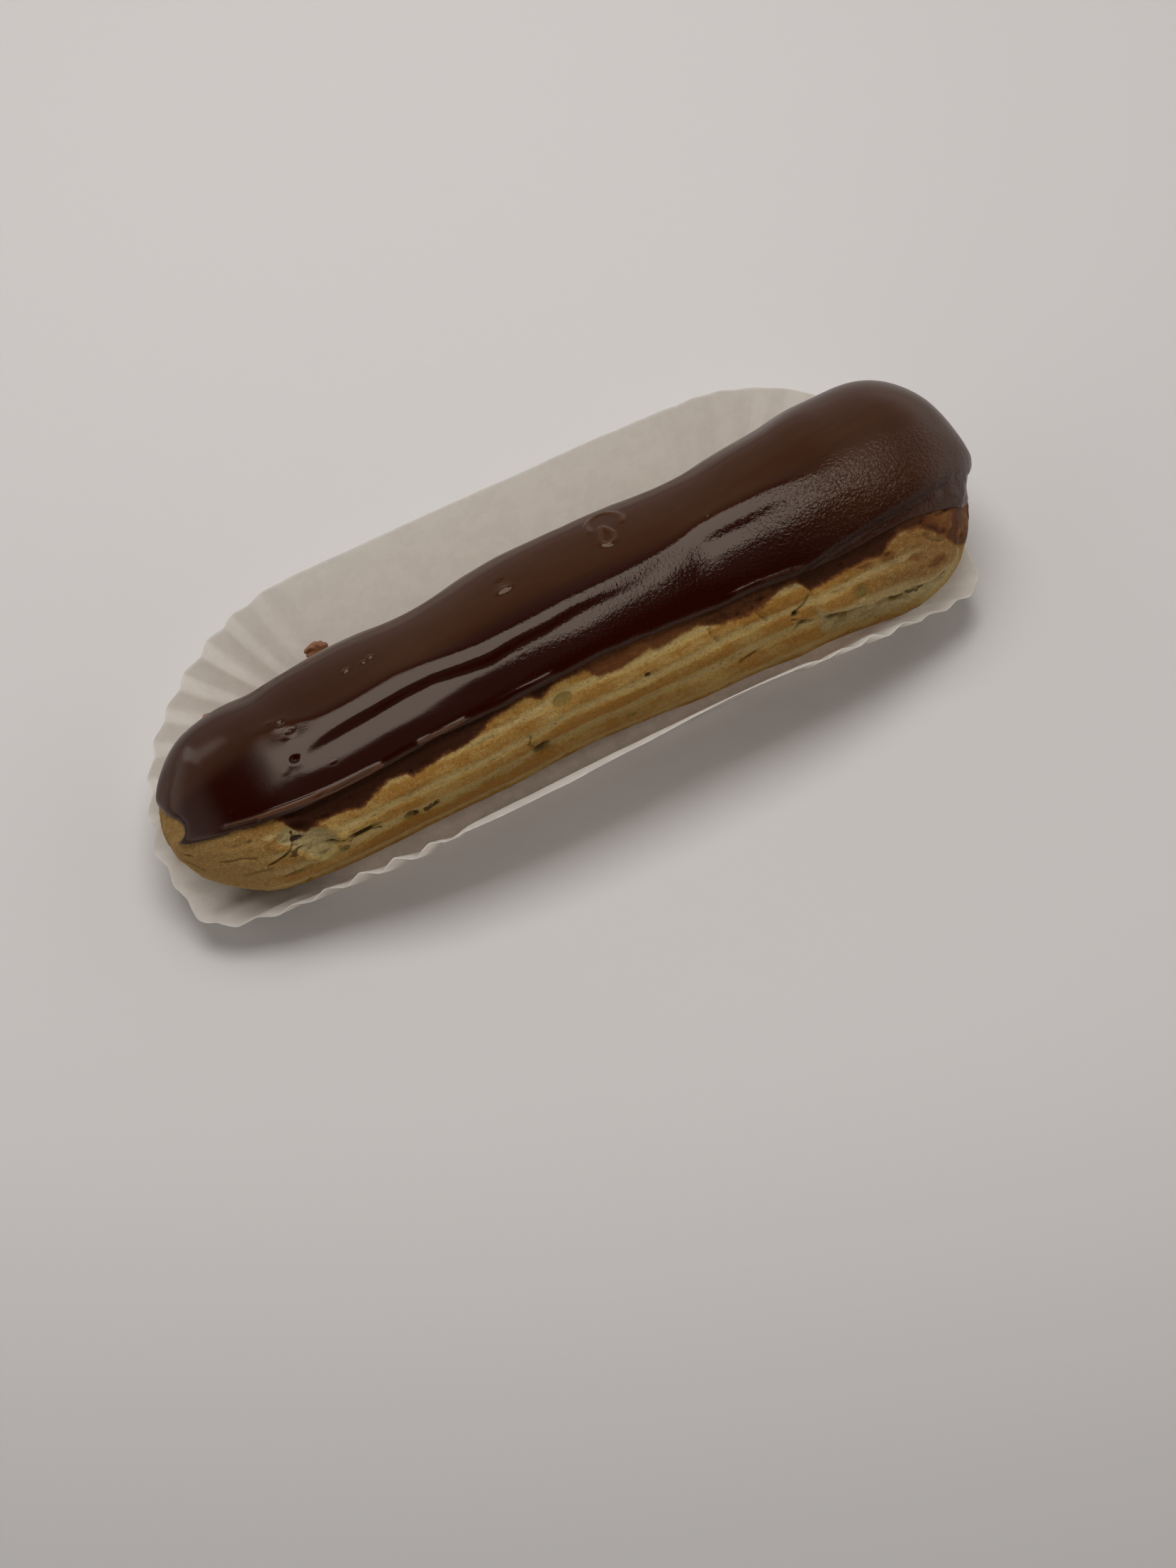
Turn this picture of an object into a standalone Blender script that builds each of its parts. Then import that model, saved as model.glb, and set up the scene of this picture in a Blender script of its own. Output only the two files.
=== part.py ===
"""A chocolate eclair lying in its fluted paper case.

Metres, +Z up. X runs along the eclair, whose fat end is at +X, and -Y is the side where the case's wall
stands close to it. The origin is on the table, in the middle of the box round everything.

choux_shell     the baked finger, ribbed by the star nozzle that piped it
chocolate_icing the set icing that coats its top and both ends
paper_case      the oval greaseproof case, smooth along its sides and fluted round its ends
"""

from math import asin, cos, pi, sin, sqrt

import bmesh
import bpy
from mathutils import Vector

MM = 0.001
GAP = 0.3 * MM

# The choux finger. It lies off the middle of its case, towards -Y.
CHOUX_LENGTH = 148 * MM
HALF_LENGTH = CHOUX_LENGTH / 2
ECLAIR_Y = -3.4 * MM
PAPER = 0.3 * MM
FLOOR_Z = PAPER + GAP

# Cross-sections along the finger: x, half width, widest level above the floor, top above that level, and
# how far the finger bends towards +Y there.
SECTIONS = (
    (-74 * MM, 15.2 * MM, 13.0 * MM, 11.4 * MM, -1.9 * MM),
    (-51 * MM, 15.6 * MM, 13.0 * MM, 11.7 * MM, -1.4 * MM),
    (-27 * MM, 16.2 * MM, 13.0 * MM, 12.4 * MM, -0.6 * MM),
    (-4 * MM, 16.3 * MM, 13.4 * MM, 13.0 * MM, 0.4 * MM),
    (23 * MM, 16.7 * MM, 13.8 * MM, 12.2 * MM, -0.4 * MM),
    (41 * MM, 17.8 * MM, 14.6 * MM, 14.0 * MM, -1.0 * MM),
    (56 * MM, 19.0 * MM, 15.2 * MM, 16.0 * MM, -1.2 * MM),
    (74 * MM, 19.2 * MM, 15.4 * MM, 16.2 * MM, -1.4 * MM),
)
TOP_ROUNDNESS = 2.1
BOTTOM_ROUNDNESS = 2.4
BOTTOM_DEPTH = 1.05
END_RADIUS = {-1: 15.0 * MM, 1: 18.5 * MM}
UNDERSIDE_END_RADIUS = 31 * MM
RIBS = 20
RIB_DEPTH = 0.6 * MM
RINGS = 44

# The icing: its thickness, and the level of its lower edge, as a share of the top's height above the widest
# level along each side, and as a height above the floor round each end.
ICING = 1.3 * MM
LIP_FRONT = 0.80
LIP_BACK = 0.42
LIP_END_Z = {-1: 18.0 * MM, 1: 13.5 * MM}
LIP_END_REACH = 11 * MM
LIP_WAVE = 0.5 * MM

# The case: points on its bottom fold, each with the rim point straight out from it (x, y, x, y, z) in mm,
# anticlockwise from the +X end of the wall behind the eclair.
CASE_WALL = (
    (37, 15.6, 36, 27.4, 18),
    (1, 15.6, 1.8, 27.9, 18),
    (-34, 15.6, -35, 28.7, 18),
    (-46, 13.6, -47, 27.6, 17),
    (-54, 8.1, -62, 20.1, 14.5),
    (-59, 0.6, -72.5, 7.1, 12.5),
    (-60, -6.4, -76, -6.4, 10.5),
    (-57.5, -12.9, -74.4, -16.6, 7),
    (-51, -16.9, -65, -19.4, 8),
    (-41, -18.7, -52, -23.2, 12.5),
    (-25, -19, -32.7, -26.6, 17),
    (1, -19, -4, -28.6, 19),
    (25, -19.4, 19.8, -28.6, 19),
    (39, -19.4, 38.8, -27.2, 17),
    (48, -17.9, 55, -25.4, 13),
    (53, -14.4, 66.6, -23.8, 9.5),
    (55, -7.4, 70.3, -16.4, 7.5),
    (55, 0.6, 72.5, -4.4, 6),
    (52, 7.6, 69, 9.6, 10.5),
    (45, 13.1, 58.5, 21.6, 16),
)
FLUTED = ((2, 10.5), (12.6, 20))
FLUTE_FADE = 1.0
FLUTE_PITCH = 5.6 * MM
FLUTE_DEPTH = 1.1 * MM
PLAIN_STEP = 12 * MM
WALL_ROWS = 4
END_CURL = 2.6

COLOURS = {
    "choux_shell": (0.38, 0.235, 0.085),
    "chocolate_icing": (0.045, 0.017, 0.009),
    "paper_case": (0.72, 0.68, 0.62),
}
ROUGHNESS = {"choux_shell": 0.65, "chocolate_icing": 0.25, "paper_case": 0.6}


def clear_scene():
    for obj in list(bpy.data.objects):
        bpy.data.objects.remove(obj, do_unlink=True)


def smooth(t):
    """0 below 0, 1 above 1, and an eased step between them."""
    t = min(max(t, 0.0), 1.0)
    return t * t * (3 - 2 * t)


def section(x):
    """Half width, widest level, top and bend of the finger at x, eased from one section to the next."""
    for left, right in zip(SECTIONS, SECTIONS[1:]):
        if x <= right[0]:
            break
    t = smooth((x - left[0]) / (right[0] - left[0]))
    return [a + (b - a) * t for a, b in zip(left[1:], right[1:])]


def dome(distance, radius):
    """How far a rounded end of this radius has opened, from 0 at its tip to 1 a radius away."""
    return sqrt(1 - (1 - min(distance, radius) / radius) ** 2)


def signed_power(value, power):
    return abs(value) ** power * (1 if value > 0 else -1)


def body_point(x, angle, grow=0.0):
    """The point of the finger's skin at x, at this angle up from -Y, moved out by grow."""
    end = 1 if x > 0 else -1
    tip = max(HALF_LENGTH - abs(x), 0.0)
    width, level, top, bend = section(x)
    across, up = cos(angle), sin(angle)
    roundness = TOP_ROUNDNESS if up > 0 else BOTTOM_ROUNDNESS
    height = top if up > 0 else level * BOTTOM_DEPTH
    opened = dome(tip, END_RADIUS[end])
    opened_up = opened if up > 0 else dome(tip, UNDERSIDE_END_RADIUS)
    y = -(width * opened + grow) * signed_power(across, 2 / roundness)
    z = level + (height * opened_up + grow) * signed_power(up, 2 / roundness)
    return Vector((x, y + bend + ECLAIR_Y, FLOOR_Z + max(z, -grow)))


def finger(grow=0.0, rib_depth=0.0, overhang=0.0):
    """A sphere drawn out along X into the finger; every second line of longitude sinks between two ribs."""
    mesh = bmesh.new()
    segments = 2 * RIBS
    bmesh.ops.create_uvsphere(mesh, u_segments=segments, v_segments=RINGS, radius=1)
    for vertex in mesh.verts:
        along = -asin(max(-1.0, min(1.0, vertex.co.z))) / (pi / 2)
        x = HALF_LENGTH * sin(along * pi / 2)
        ring = Vector((vertex.co.x, vertex.co.y))
        angle = ring.angle_signed(Vector((1, 0)), 0.0) if ring.length > 1e-6 else 0.0
        line = round(angle / (2 * pi) * segments)
        tip = HALF_LENGTH - abs(x)
        depth = rib_depth * (line % 2) * smooth(tip / (8 * MM))
        vertex.co = body_point(x, angle, grow - depth)
        vertex.co.x += overhang * sin(along * pi / 2) ** 9
    mesh.normal_update()
    bmesh.ops.recalc_face_normals(mesh, faces=mesh.faces)
    return mesh


def lip_level(x, y):
    """The level of the icing's lower edge: high along the sides, low round the ends, and a little wavy."""
    width, level, top, bend = section(x)
    across = (y - ECLAIR_Y - bend) / width
    side = level + top * (LIP_FRONT + (LIP_BACK - LIP_FRONT) * smooth((across + 1) / 2))
    end = smooth(1 - (HALF_LENGTH - abs(x)) / LIP_END_REACH)
    end_z = LIP_END_Z[1 if x > 0 else -1]
    wave = LIP_WAVE * (sin(x / (9 * MM)) + 0.6 * sin(x / (4.1 * MM) + 1)) / 1.6
    return FLOOR_Z + side + (end_z - side) * end + wave


def finished(name, mesh, collection):
    data = bpy.data.meshes.new(name)
    mesh.to_mesh(data)
    mesh.free()
    data.shade_smooth()
    obj = bpy.data.objects.new(name, data)
    collection.objects.link(obj)
    material = bpy.data.materials.new(name)
    material.use_nodes = True
    shader = material.node_tree.nodes["Principled BSDF"]
    shader.inputs["Base Color"].default_value = (*COLOURS[name], 1)
    shader.inputs["Roughness"].default_value = ROUGHNESS[name]
    data.materials.append(material)
    return obj


def solidified(obj, thickness, offset):
    modifier = obj.modifiers.new("Thickness", "SOLIDIFY")
    modifier.thickness = thickness
    modifier.offset = offset
    modifier.use_even_offset = True


def choux_shell(collection):
    return finished("choux_shell", finger(rib_depth=RIB_DEPTH), collection)


def chocolate_icing(collection):
    """The finger's skin, a gap out, cut along the wavy lip: the lip is made level, cut, and put back."""
    mesh = finger(grow=GAP, overhang=GAP)
    for vertex in mesh.verts:
        vertex.co.z -= lip_level(vertex.co.x, vertex.co.y)
    everything = mesh.verts[:] + mesh.edges[:] + mesh.faces[:]
    bmesh.ops.bisect_plane(mesh, geom=everything, plane_no=(0, 0, 1), clear_inner=True, dist=0.01 * MM)
    for vertex in mesh.verts:
        vertex.co.z += lip_level(vertex.co.x, vertex.co.y)
    obj = finished("chocolate_icing", mesh, collection)
    solidified(obj, ICING, 1)
    return obj


def wall_station(t):
    """Bottom fold and rim at station t, on smooth closed curves through CASE_WALL."""
    count = len(CASE_WALL)
    index = int(t // 1)
    before, here, after, beyond = (CASE_WALL[(index + k) % count] for k in (-1, 0, 1, 2))
    t -= index
    values = []
    for a, b, c, d in zip(before, here, after, beyond):
        slope_in, slope_out = (c - a) / 2, (d - b) / 2
        value = (2 * t**3 - 3 * t**2 + 1) * b + (t**3 - 2 * t**2 + t) * slope_in
        value += (3 * t**2 - 2 * t**3) * c + (t**3 - t**2) * slope_out
        values.append(value * MM)
    return Vector((values[0], values[1], 0)), Vector(values[2:])


def fluting(t):
    """How deep the flutes are at station t: 0 on the plain sides, 1 round the ends."""
    depth = 0.0
    for start, stop in FLUTED:
        depth = max(depth, smooth((t - start) / FLUTE_FADE) * smooth((stop - t) / FLUTE_FADE))
    return depth


def wall_lines():
    """The stations of the wall's lines, a half pitch apart where it is fluted, and each line's side."""
    count = len(CASE_WALL)
    fine = [wall_station(k / 40)[1] for k in range(40 * count + 1)]
    lines, walked, side = [0.0], 0.0, 1
    sides = [0]
    for k in range(1, 40 * count):
        walked += (fine[k] - fine[k - 1]).length
        fluted = any(start <= k / 40 <= stop for start, stop in FLUTED)
        if walked >= (FLUTE_PITCH / 2 if fluted else PLAIN_STEP):
            lines.append(k / 40)
            sides.append(side if fluted else 0)
            side, walked = -side, 0.0
    return lines, sides


def paper_case(collection):
    """A floor with the wall's rows drawn out from its edge, given the paper's thickness."""
    lines, sides = wall_lines()
    mesh = bmesh.new()
    rows = []
    for row in range(WALL_ROWS + 1):
        s = row / WALL_ROWS
        ring = []
        for t, side in zip(lines, sides):
            fold, rim = wall_station(t)
            ahead = wall_station((t + 0.05) % len(CASE_WALL))[1] - rim
            normal = ahead.cross(rim - fold).normalized()
            curl = 1 + (END_CURL - 1) * fluting(t)
            point = fold.lerp(rim, s)
            point.z = rim.z * s**curl
            point += normal * (side * FLUTE_DEPTH * fluting(t) * s)
            point.z = max(point.z, 0.0)
            ring.append(mesh.verts.new(point))
        rows.append(ring)
    for lower, upper in zip(rows, rows[1:]):
        for k in range(len(lower)):
            following = (k + 1) % len(lower)
            mesh.faces.new((lower[k], lower[following], upper[following], upper[k]))
    floor = mesh.faces.new(rows[0])
    mesh.normal_update()
    bmesh.ops.recalc_face_normals(mesh, faces=mesh.faces)
    if floor.normal.z > 0:
        bmesh.ops.reverse_faces(mesh, faces=mesh.faces)
    obj = finished("paper_case", mesh, collection)
    solidified(obj, PAPER, -1)
    return obj


def main():
    clear_scene()
    collection = bpy.data.collections.new("chocolate_eclair")
    bpy.context.scene.collection.children.link(collection)
    choux_shell(collection)
    chocolate_icing(collection)
    paper_case(collection)


main()
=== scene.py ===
# %% [markdown]
# # A chocolate eclair in its paper case
#
# An eclair is a finger of choux pastry, piped through a star nozzle so that it bakes with ribs along it, and
# dipped in icing that sets with a soft gloss. It lies in an oval case of greaseproof paper, smooth along its
# sides and fluted round its ends. Everything here is worked out in millimetres in the frame of the solid
# model, and turned into metres where a mesh is written.

# %% Load the solid model
from math import cos, pi, radians, sin

import bpy
import numpy as np
from mathutils import Matrix, Vector


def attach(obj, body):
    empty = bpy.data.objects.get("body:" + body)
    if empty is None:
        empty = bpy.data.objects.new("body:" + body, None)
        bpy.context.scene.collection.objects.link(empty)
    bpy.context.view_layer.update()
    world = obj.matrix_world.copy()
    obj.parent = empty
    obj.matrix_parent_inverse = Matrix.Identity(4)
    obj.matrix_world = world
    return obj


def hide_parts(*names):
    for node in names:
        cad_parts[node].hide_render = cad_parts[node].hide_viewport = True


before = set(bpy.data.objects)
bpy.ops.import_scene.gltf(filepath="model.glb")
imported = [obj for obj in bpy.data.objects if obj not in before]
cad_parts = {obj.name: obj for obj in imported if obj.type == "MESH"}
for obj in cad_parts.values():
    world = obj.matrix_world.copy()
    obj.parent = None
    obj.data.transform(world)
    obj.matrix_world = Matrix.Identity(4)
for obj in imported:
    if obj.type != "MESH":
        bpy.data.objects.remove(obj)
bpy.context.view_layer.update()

MM = 0.001


def read_points(mesh):
    """The places of a mesh's vertices, one row each."""
    places = np.empty(len(mesh.vertices) * 3, np.float32)
    mesh.vertices.foreach_get("co", places)
    return places.reshape(-1, 3)


# %% [markdown]
# ## Camera
#
# A hand-held view from above: the camera looks down at 62.5 degrees, from the side where the case's wall
# stands close to the eclair, and a little from its thin end. It is placed by walking back from the point of
# the table that it looks at.

# %% Place the camera
AIM = Vector((-7.3, -21.7, 0)) * MM
CAMERA_PITCH = radians(62.5)
CAMERA_SIDE = radians(29)
CAMERA_DISTANCE = 417.8 * MM
LENS = 56.96

level = cos(CAMERA_PITCH)
forward = Vector((sin(CAMERA_SIDE) * level, cos(CAMERA_SIDE) * level, -sin(CAMERA_PITCH)))
camera_data = bpy.data.cameras.new("camera")
camera_data.lens = LENS
camera_data.clip_start = 10 * MM
camera = bpy.data.objects.new("camera", camera_data)
camera.location = AIM - forward * CAMERA_DISTANCE
camera.rotation_euler = forward.to_track_quat("-Z", "Y").to_euler()
bpy.context.scene.collection.objects.link(camera)
bpy.context.scene.camera = camera
bpy.context.scene.view_settings.view_transform = "Standard"
print("camera height, mm:", round(camera.location.z / MM))

# %% [markdown]
# ## Shader maths as plain arithmetic
#
# A material is a net of nodes, and a net is hard to read as code. Here a `Signal` wraps one socket, so that
# `1 - mask * 0.5` adds the Math nodes by itself, and a `Finish` wraps a material and has one method for every
# other kind of node: its settings are set first, then its sockets are filled with numbers or other signals.


# %% Two small classes for materials
class Signal:
    """One output socket; arithmetic on it adds Math nodes."""

    def __init__(self, net, socket):
        self.net = net
        self.socket = socket

    def math(self, operation, *others):
        inputs = dict(enumerate((self, *others)))
        return self.net.node("ShaderNodeMath", {"operation": operation}, inputs)

    def __add__(self, other):
        return self.math("ADD", other)

    def __mul__(self, other):
        return self.math("MULTIPLY", other)

    def __sub__(self, other):
        return self.math("SUBTRACT", other)

    def __rsub__(self, other):
        return self.net.node("ShaderNodeMath", {"operation": "SUBTRACT"}, {0: other, 1: self})

    def __truediv__(self, other):
        return self.math("DIVIDE", other)

    __radd__ = __add__
    __rmul__ = __mul__


class Net:
    """The nodes of a material or of the world."""

    def __init__(self, tree):
        self.tree = tree

    def fill(self, socket, value):
        if isinstance(value, Signal):
            self.tree.links.new(value.socket, socket)
        elif hasattr(socket.default_value, "__len__") and len(value) < len(socket.default_value):
            socket.default_value = (*value, 1)
        else:
            socket.default_value = value

    def node(self, kind, settings, inputs, output=0):
        """Adds a node of this kind and gives the signal of one of its outputs."""
        made = self.tree.nodes.new(kind)
        for name, value in settings.items():
            setattr(made, name, value)
        for name, value in inputs.items():
            self.fill(made.inputs[name], value)
        return Signal(self, made.outputs[output])

    def step(self, value, low, high):
        """0 where value is under low, 1 over high, and an eased step between them."""
        inputs = {"Value": value, "From Min": low, "From Max": high}
        return self.node("ShaderNodeMapRange", {"interpolation_type": "SMOOTHSTEP"}, inputs)

    def mix(self, mask, first, second):
        """The first colour where mask is 0, the second where it is 1."""
        inputs = {0: mask, 6: first, 7: second}
        return self.node("ShaderNodeMix", {"data_type": "RGBA"}, inputs, 2)

    def coats(self, colour, *coats):
        """Lays coats of colour over each other, each a mask and the colour where that mask is 1."""
        for mask, coat in coats:
            colour = self.mix(mask, colour, coat)
        return colour

    def axes(self, place):
        """The X, Y and Z of a place, as three signals."""
        return [self.node("ShaderNodeSeparateXYZ", {}, {0: place}, axis) for axis in "XYZ"]

    def along(self, place, direction):
        """How far a place lies along this direction."""
        inputs = {0: place, 1: direction}
        return self.node("ShaderNodeVectorMath", {"operation": "DOT_PRODUCT"}, inputs, "Value")


class Finish(Net):
    """A material whose colours, gloss and grain are worked out by nodes."""

    def __init__(self, name):
        self.material = bpy.data.materials.new(name)
        self.material.use_nodes = True
        super().__init__(self.material.node_tree)
        self.shader = self.tree.nodes["Principled BSDF"]
        self.place = self.node("ShaderNodeTexCoord", {}, {}, "Object")

    def painted(self, attribute):
        """A mask that was painted on the mesh, as a number."""
        return self.node("ShaderNodeAttribute", {"attribute_name": attribute}, {}, "Fac")

    def noise(self, size, detail=2.0, roughness=0.5, stretch=(1, 1, 1), distortion=0.0):
        """Cloudy noise about 0.5, with features of this size in mm, drawn out by stretch."""
        place = self.node("ShaderNodeMapping", {}, {"Vector": self.place, "Scale": [1 / s for s in stretch]})
        settings = {"Vector": place, "Scale": 1 / (size * MM), "Detail": detail}
        settings.update({"Roughness": roughness, "Distortion": distortion})
        return self.node("ShaderNodeTexNoise", {}, settings, "Fac")

    def finish(self, **sockets):
        """Fills the shader's own sockets; an underscore in a name stands for a space."""
        for name, value in sockets.items():
            self.fill(self.shader.inputs[name.replace("_", " ")], value)

    def relief(self, height, depth_mm):
        """Bumps as deep as depth_mm where height goes from 0 to 1."""
        inputs = {"Height": height, "Strength": 1.0, "Distance": depth_mm * MM}
        self.finish(Normal=self.node("ShaderNodeBump", {}, inputs))

    def put_on(self, piece):
        piece.data.materials.clear()
        piece.data.materials.append(self.material)


print("shader helpers ready")

# %% [markdown]
# ## Light
#
# One soft panel hangs above the table and a little behind the eclair. Icing is a dark mirror, so the panel's
# edges are what draws the long highlight: it is placed by where it should be seen in the icing. A far fainter
# panel on its near side lifts the icing's dark front, and a window far to the left shows at the thin end.
# The world is a dull room, brightest at its walls and low at its two sides. It is dark overhead and where
# the viewer stands, so that it fills the shadows without veiling the icing.

# %% Hang the panels and light the room
PANELS = {
    # name: direction from the eclair (x, y, z), distance, width, height, radiance
    "overhead_panel": ((0.05, 0.298, 1.0), 600 * MM, 420 * MM, 339 * MM, 5.15),
    "panel_glow": ((0.05, -0.15, 1.0), 600 * MM, 420 * MM, 200 * MM, 0.22),
    "far_window": ((-0.40, 0.85, 0.30), 1500 * MM, 270 * MM, 620 * MM, 1.45),
}
ROOM_WALLS = 0.8
ROOM_BACK = 0.5
ROOM_SIDES = 0.55
ROOM_DARK = 0.015
ROOM_TINT = (1.0, 0.985, 0.97)
VIEWER = (-0.31, -0.56, 0.77)


def hang_panel(name, direction, distance, width, height, radiance):
    """A panel that faces the eclair, as bright as radiance at every point of it."""
    light = bpy.data.lights.new(name, "AREA")
    light.shape = "RECTANGLE"
    light.size = width
    light.size_y = height
    light.energy = radiance * pi * width * height
    panel = bpy.data.objects.new(name, light)
    towards = Vector(direction).normalized()
    panel.location = towards * distance
    panel.rotation_euler = (-towards).to_track_quat("-Z", "Y").to_euler()
    bpy.context.scene.collection.objects.link(panel)


for panel_name, settings in PANELS.items():
    hang_panel(panel_name, *settings)

world = bpy.data.worlds.new("room")
world.use_nodes = True
bpy.context.scene.world = world
room = Net(world.node_tree)
looking = room.node("ShaderNodeTexCoord", {}, {}, "Generated")
sideways, backward, upward = room.axes(looking)
facing = room.along(looking, VIEWER)
walls = (1 - room.step(upward, 0.45, 0.90)) * (1 - room.step(facing, 0.62, 0.86))
walls = walls * (ROOM_WALLS - (ROOM_WALLS - ROOM_BACK) * room.step(backward, 0.2, 0.8))
sides = room.step(sideways.math("ABSOLUTE"), 0.30, 0.65) * (1 - room.step(upward, 0.12, 0.38))
walls = walls + ROOM_SIDES * sides
background = world.node_tree.nodes["Background"]
room.fill(background.inputs["Color"], ROOM_TINT)
room.fill(background.inputs["Strength"], walls + ROOM_DARK)
print("panels hung:", ", ".join(PANELS))

# %% [markdown]
# ## The table
#
# A plain pale tabletop: a plane large enough to fill the view, in a warm light grey with painted shade that
# makes it a little darker towards the near side, where the viewer stands. It isn't part of the object, so it
# is only staged.

# %% Lay the table
TABLE_SIZE = 4000 * MM
LAMINATE = (0.672, 0.637, 0.618)
LAMINATE_PAINTED_SHADE = (0.525, 0.497, 0.482)
NEARER = (-0.45, -0.89, 0)

bpy.ops.object.select_all(action="DESELECT")
bpy.ops.mesh.primitive_plane_add(size=TABLE_SIZE)
table = bpy.context.object
table.name = "tabletop"
laminate = Finish("pale_laminate")
nearer = laminate.along(laminate.place, NEARER)
# painted shade: towards the near side the laminate's colour turns darker, standing in for the viewer's shadow
laminate_colour = laminate.mix(laminate.step(nearer, 0.06, 0.18), LAMINATE, LAMINATE_PAINTED_SHADE)
laminate.finish(Base_Color=laminate_colour, Roughness=0.6, Specular_IOR_Level=0.2)
laminate.put_on(table)
print("table laid")

# %% [markdown]
# ## The finger's form
#
# The pastry and the icing both follow the solid model's finger, whose rings lie at known places along X. The
# crests of its ribs are read from the frame, ring by ring, and a smooth surface is drawn through them. A
# place on that surface is given by x and by its angle: 0 faces the near side, 90 is up, 180 the far side.

# %% Read the crests of the solid finger
corners = read_points(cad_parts["choux_shell"].data)
corners = np.unique(np.round(corners / MM, 3), axis=0)
ring_places = np.unique(corners[:, 0])
HALF_LENGTH = float(ring_places[-1])


def crests(x):
    """Every second point of the ring at x, anticlockwise from the near side: the crests of the ribs."""
    ring = corners[corners[:, 0] == x]
    if len(ring) == 1:
        return None
    near = ring[ring[:, 1].argmin()]
    middle = (near[1] + ring[:, 1].max()) / 2
    angle = np.arctan2(ring[:, 2] - near[2], middle - ring[:, 1]) + 0.01
    return ring[np.argsort(angle % (2 * pi))][::2]


rows = [crests(x) for x in ring_places]
RIB_COUNT = len(rows[1])
rows[0] = np.tile(corners[corners[:, 0] == ring_places[0]], (RIB_COUNT, 1))
rows[-1] = np.tile(corners[corners[:, 0] == ring_places[-1]], (RIB_COUNT, 1))
rows = [2 * rows[0] - rows[1], *rows, 2 * rows[-1] - rows[-2]]
CRESTS = np.array(rows)
print("rings and crests:", CRESTS.shape[:2], "half length, mm:", HALF_LENGTH)


# %% A smooth surface through the crests
BLUNT_FROM = 46.0
FULLER = 1.9
BEND = 0.9
SHOULDER = 0.8
WALK_ANGLE = 60.0
TOP_RISE = (
    # x, how much higher the top lies than the solid's, in mm
    (-74, 0), (24, 0), (30, 0.25), (36, 0.7), (41, 1.1), (45, 1.2), (49, 0.7), (53, 0.2), (57, 0), (74, 0),
)
BACK_BULGE = (
    # x, how far the far side stands out beyond the solid's, in mm
    (-74, 0), (-66, 0.3), (-60, 0.1), (-54, 0), (-47, 1.0), (-38, 0.9), (-26, 0.2), (-16, 0.4), (-8, 0.9),
    (4, 1.2), (14, 1.2), (22, 0.8), (30, 0.3), (36, 0.6), (46, 0.9), (52, 0.5), (56, 0.2), (60, 0.1),
    (64, 0.05), (68, 0.1), (74, 0.1),
)
NEAR_SAG = (
    # x, how far the foot of the near side stands out beyond the solid's, in mm
    (-74, 0), (-30, 0), (0, 0.3), (8, 0.7), (16, 1.1), (34, 1.1), (38, 0.3), (43, 0.3), (52, 0.8),
    (64, 0.9), (72, 0.4), (74, 0),
)


def ease(value, low, high):
    """0 where value is under low, 1 over high, and an eased step between them."""
    t = np.clip((value - low) / (high - low), 0, 1)
    return t * t * (3 - 2 * t)


def table_line(table, x, span=9):
    """The table's second column, eased through its points over this many quarters of a mm, at each x."""
    places, values = (np.array(column, float) for column in zip(*table))
    fine = np.linspace(places[0], places[-1], 600)
    kernel = np.hanning(span) / np.hanning(span).sum()
    line = np.convolve(np.pad(np.interp(fine, places, values), span // 2, mode="edge"), kernel, mode="valid")
    return np.interp(x, fine, line)


def four_weights(t):
    """How much each of four neighbours counts at t between the middle two, on a Catmull-Rom curve."""
    before = (-t + 2 * t**2 - t**3) / 2
    here = (2 - 5 * t**2 + 3 * t**3) / 2
    after = (t + 4 * t**2 - 3 * t**3) / 2
    beyond = (-(t**2) + t**3) / 2
    return before, here, after, beyond


def smooth_weights(t):
    """The same on a B-spline, which has no kinks in its bend."""
    return (1 - t) ** 3 / 6, (3 * t**3 - 6 * t**2 + 4) / 6, (1 + 3 * t + 3 * t**2 - 3 * t**3) / 6, t**3 / 6


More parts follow.
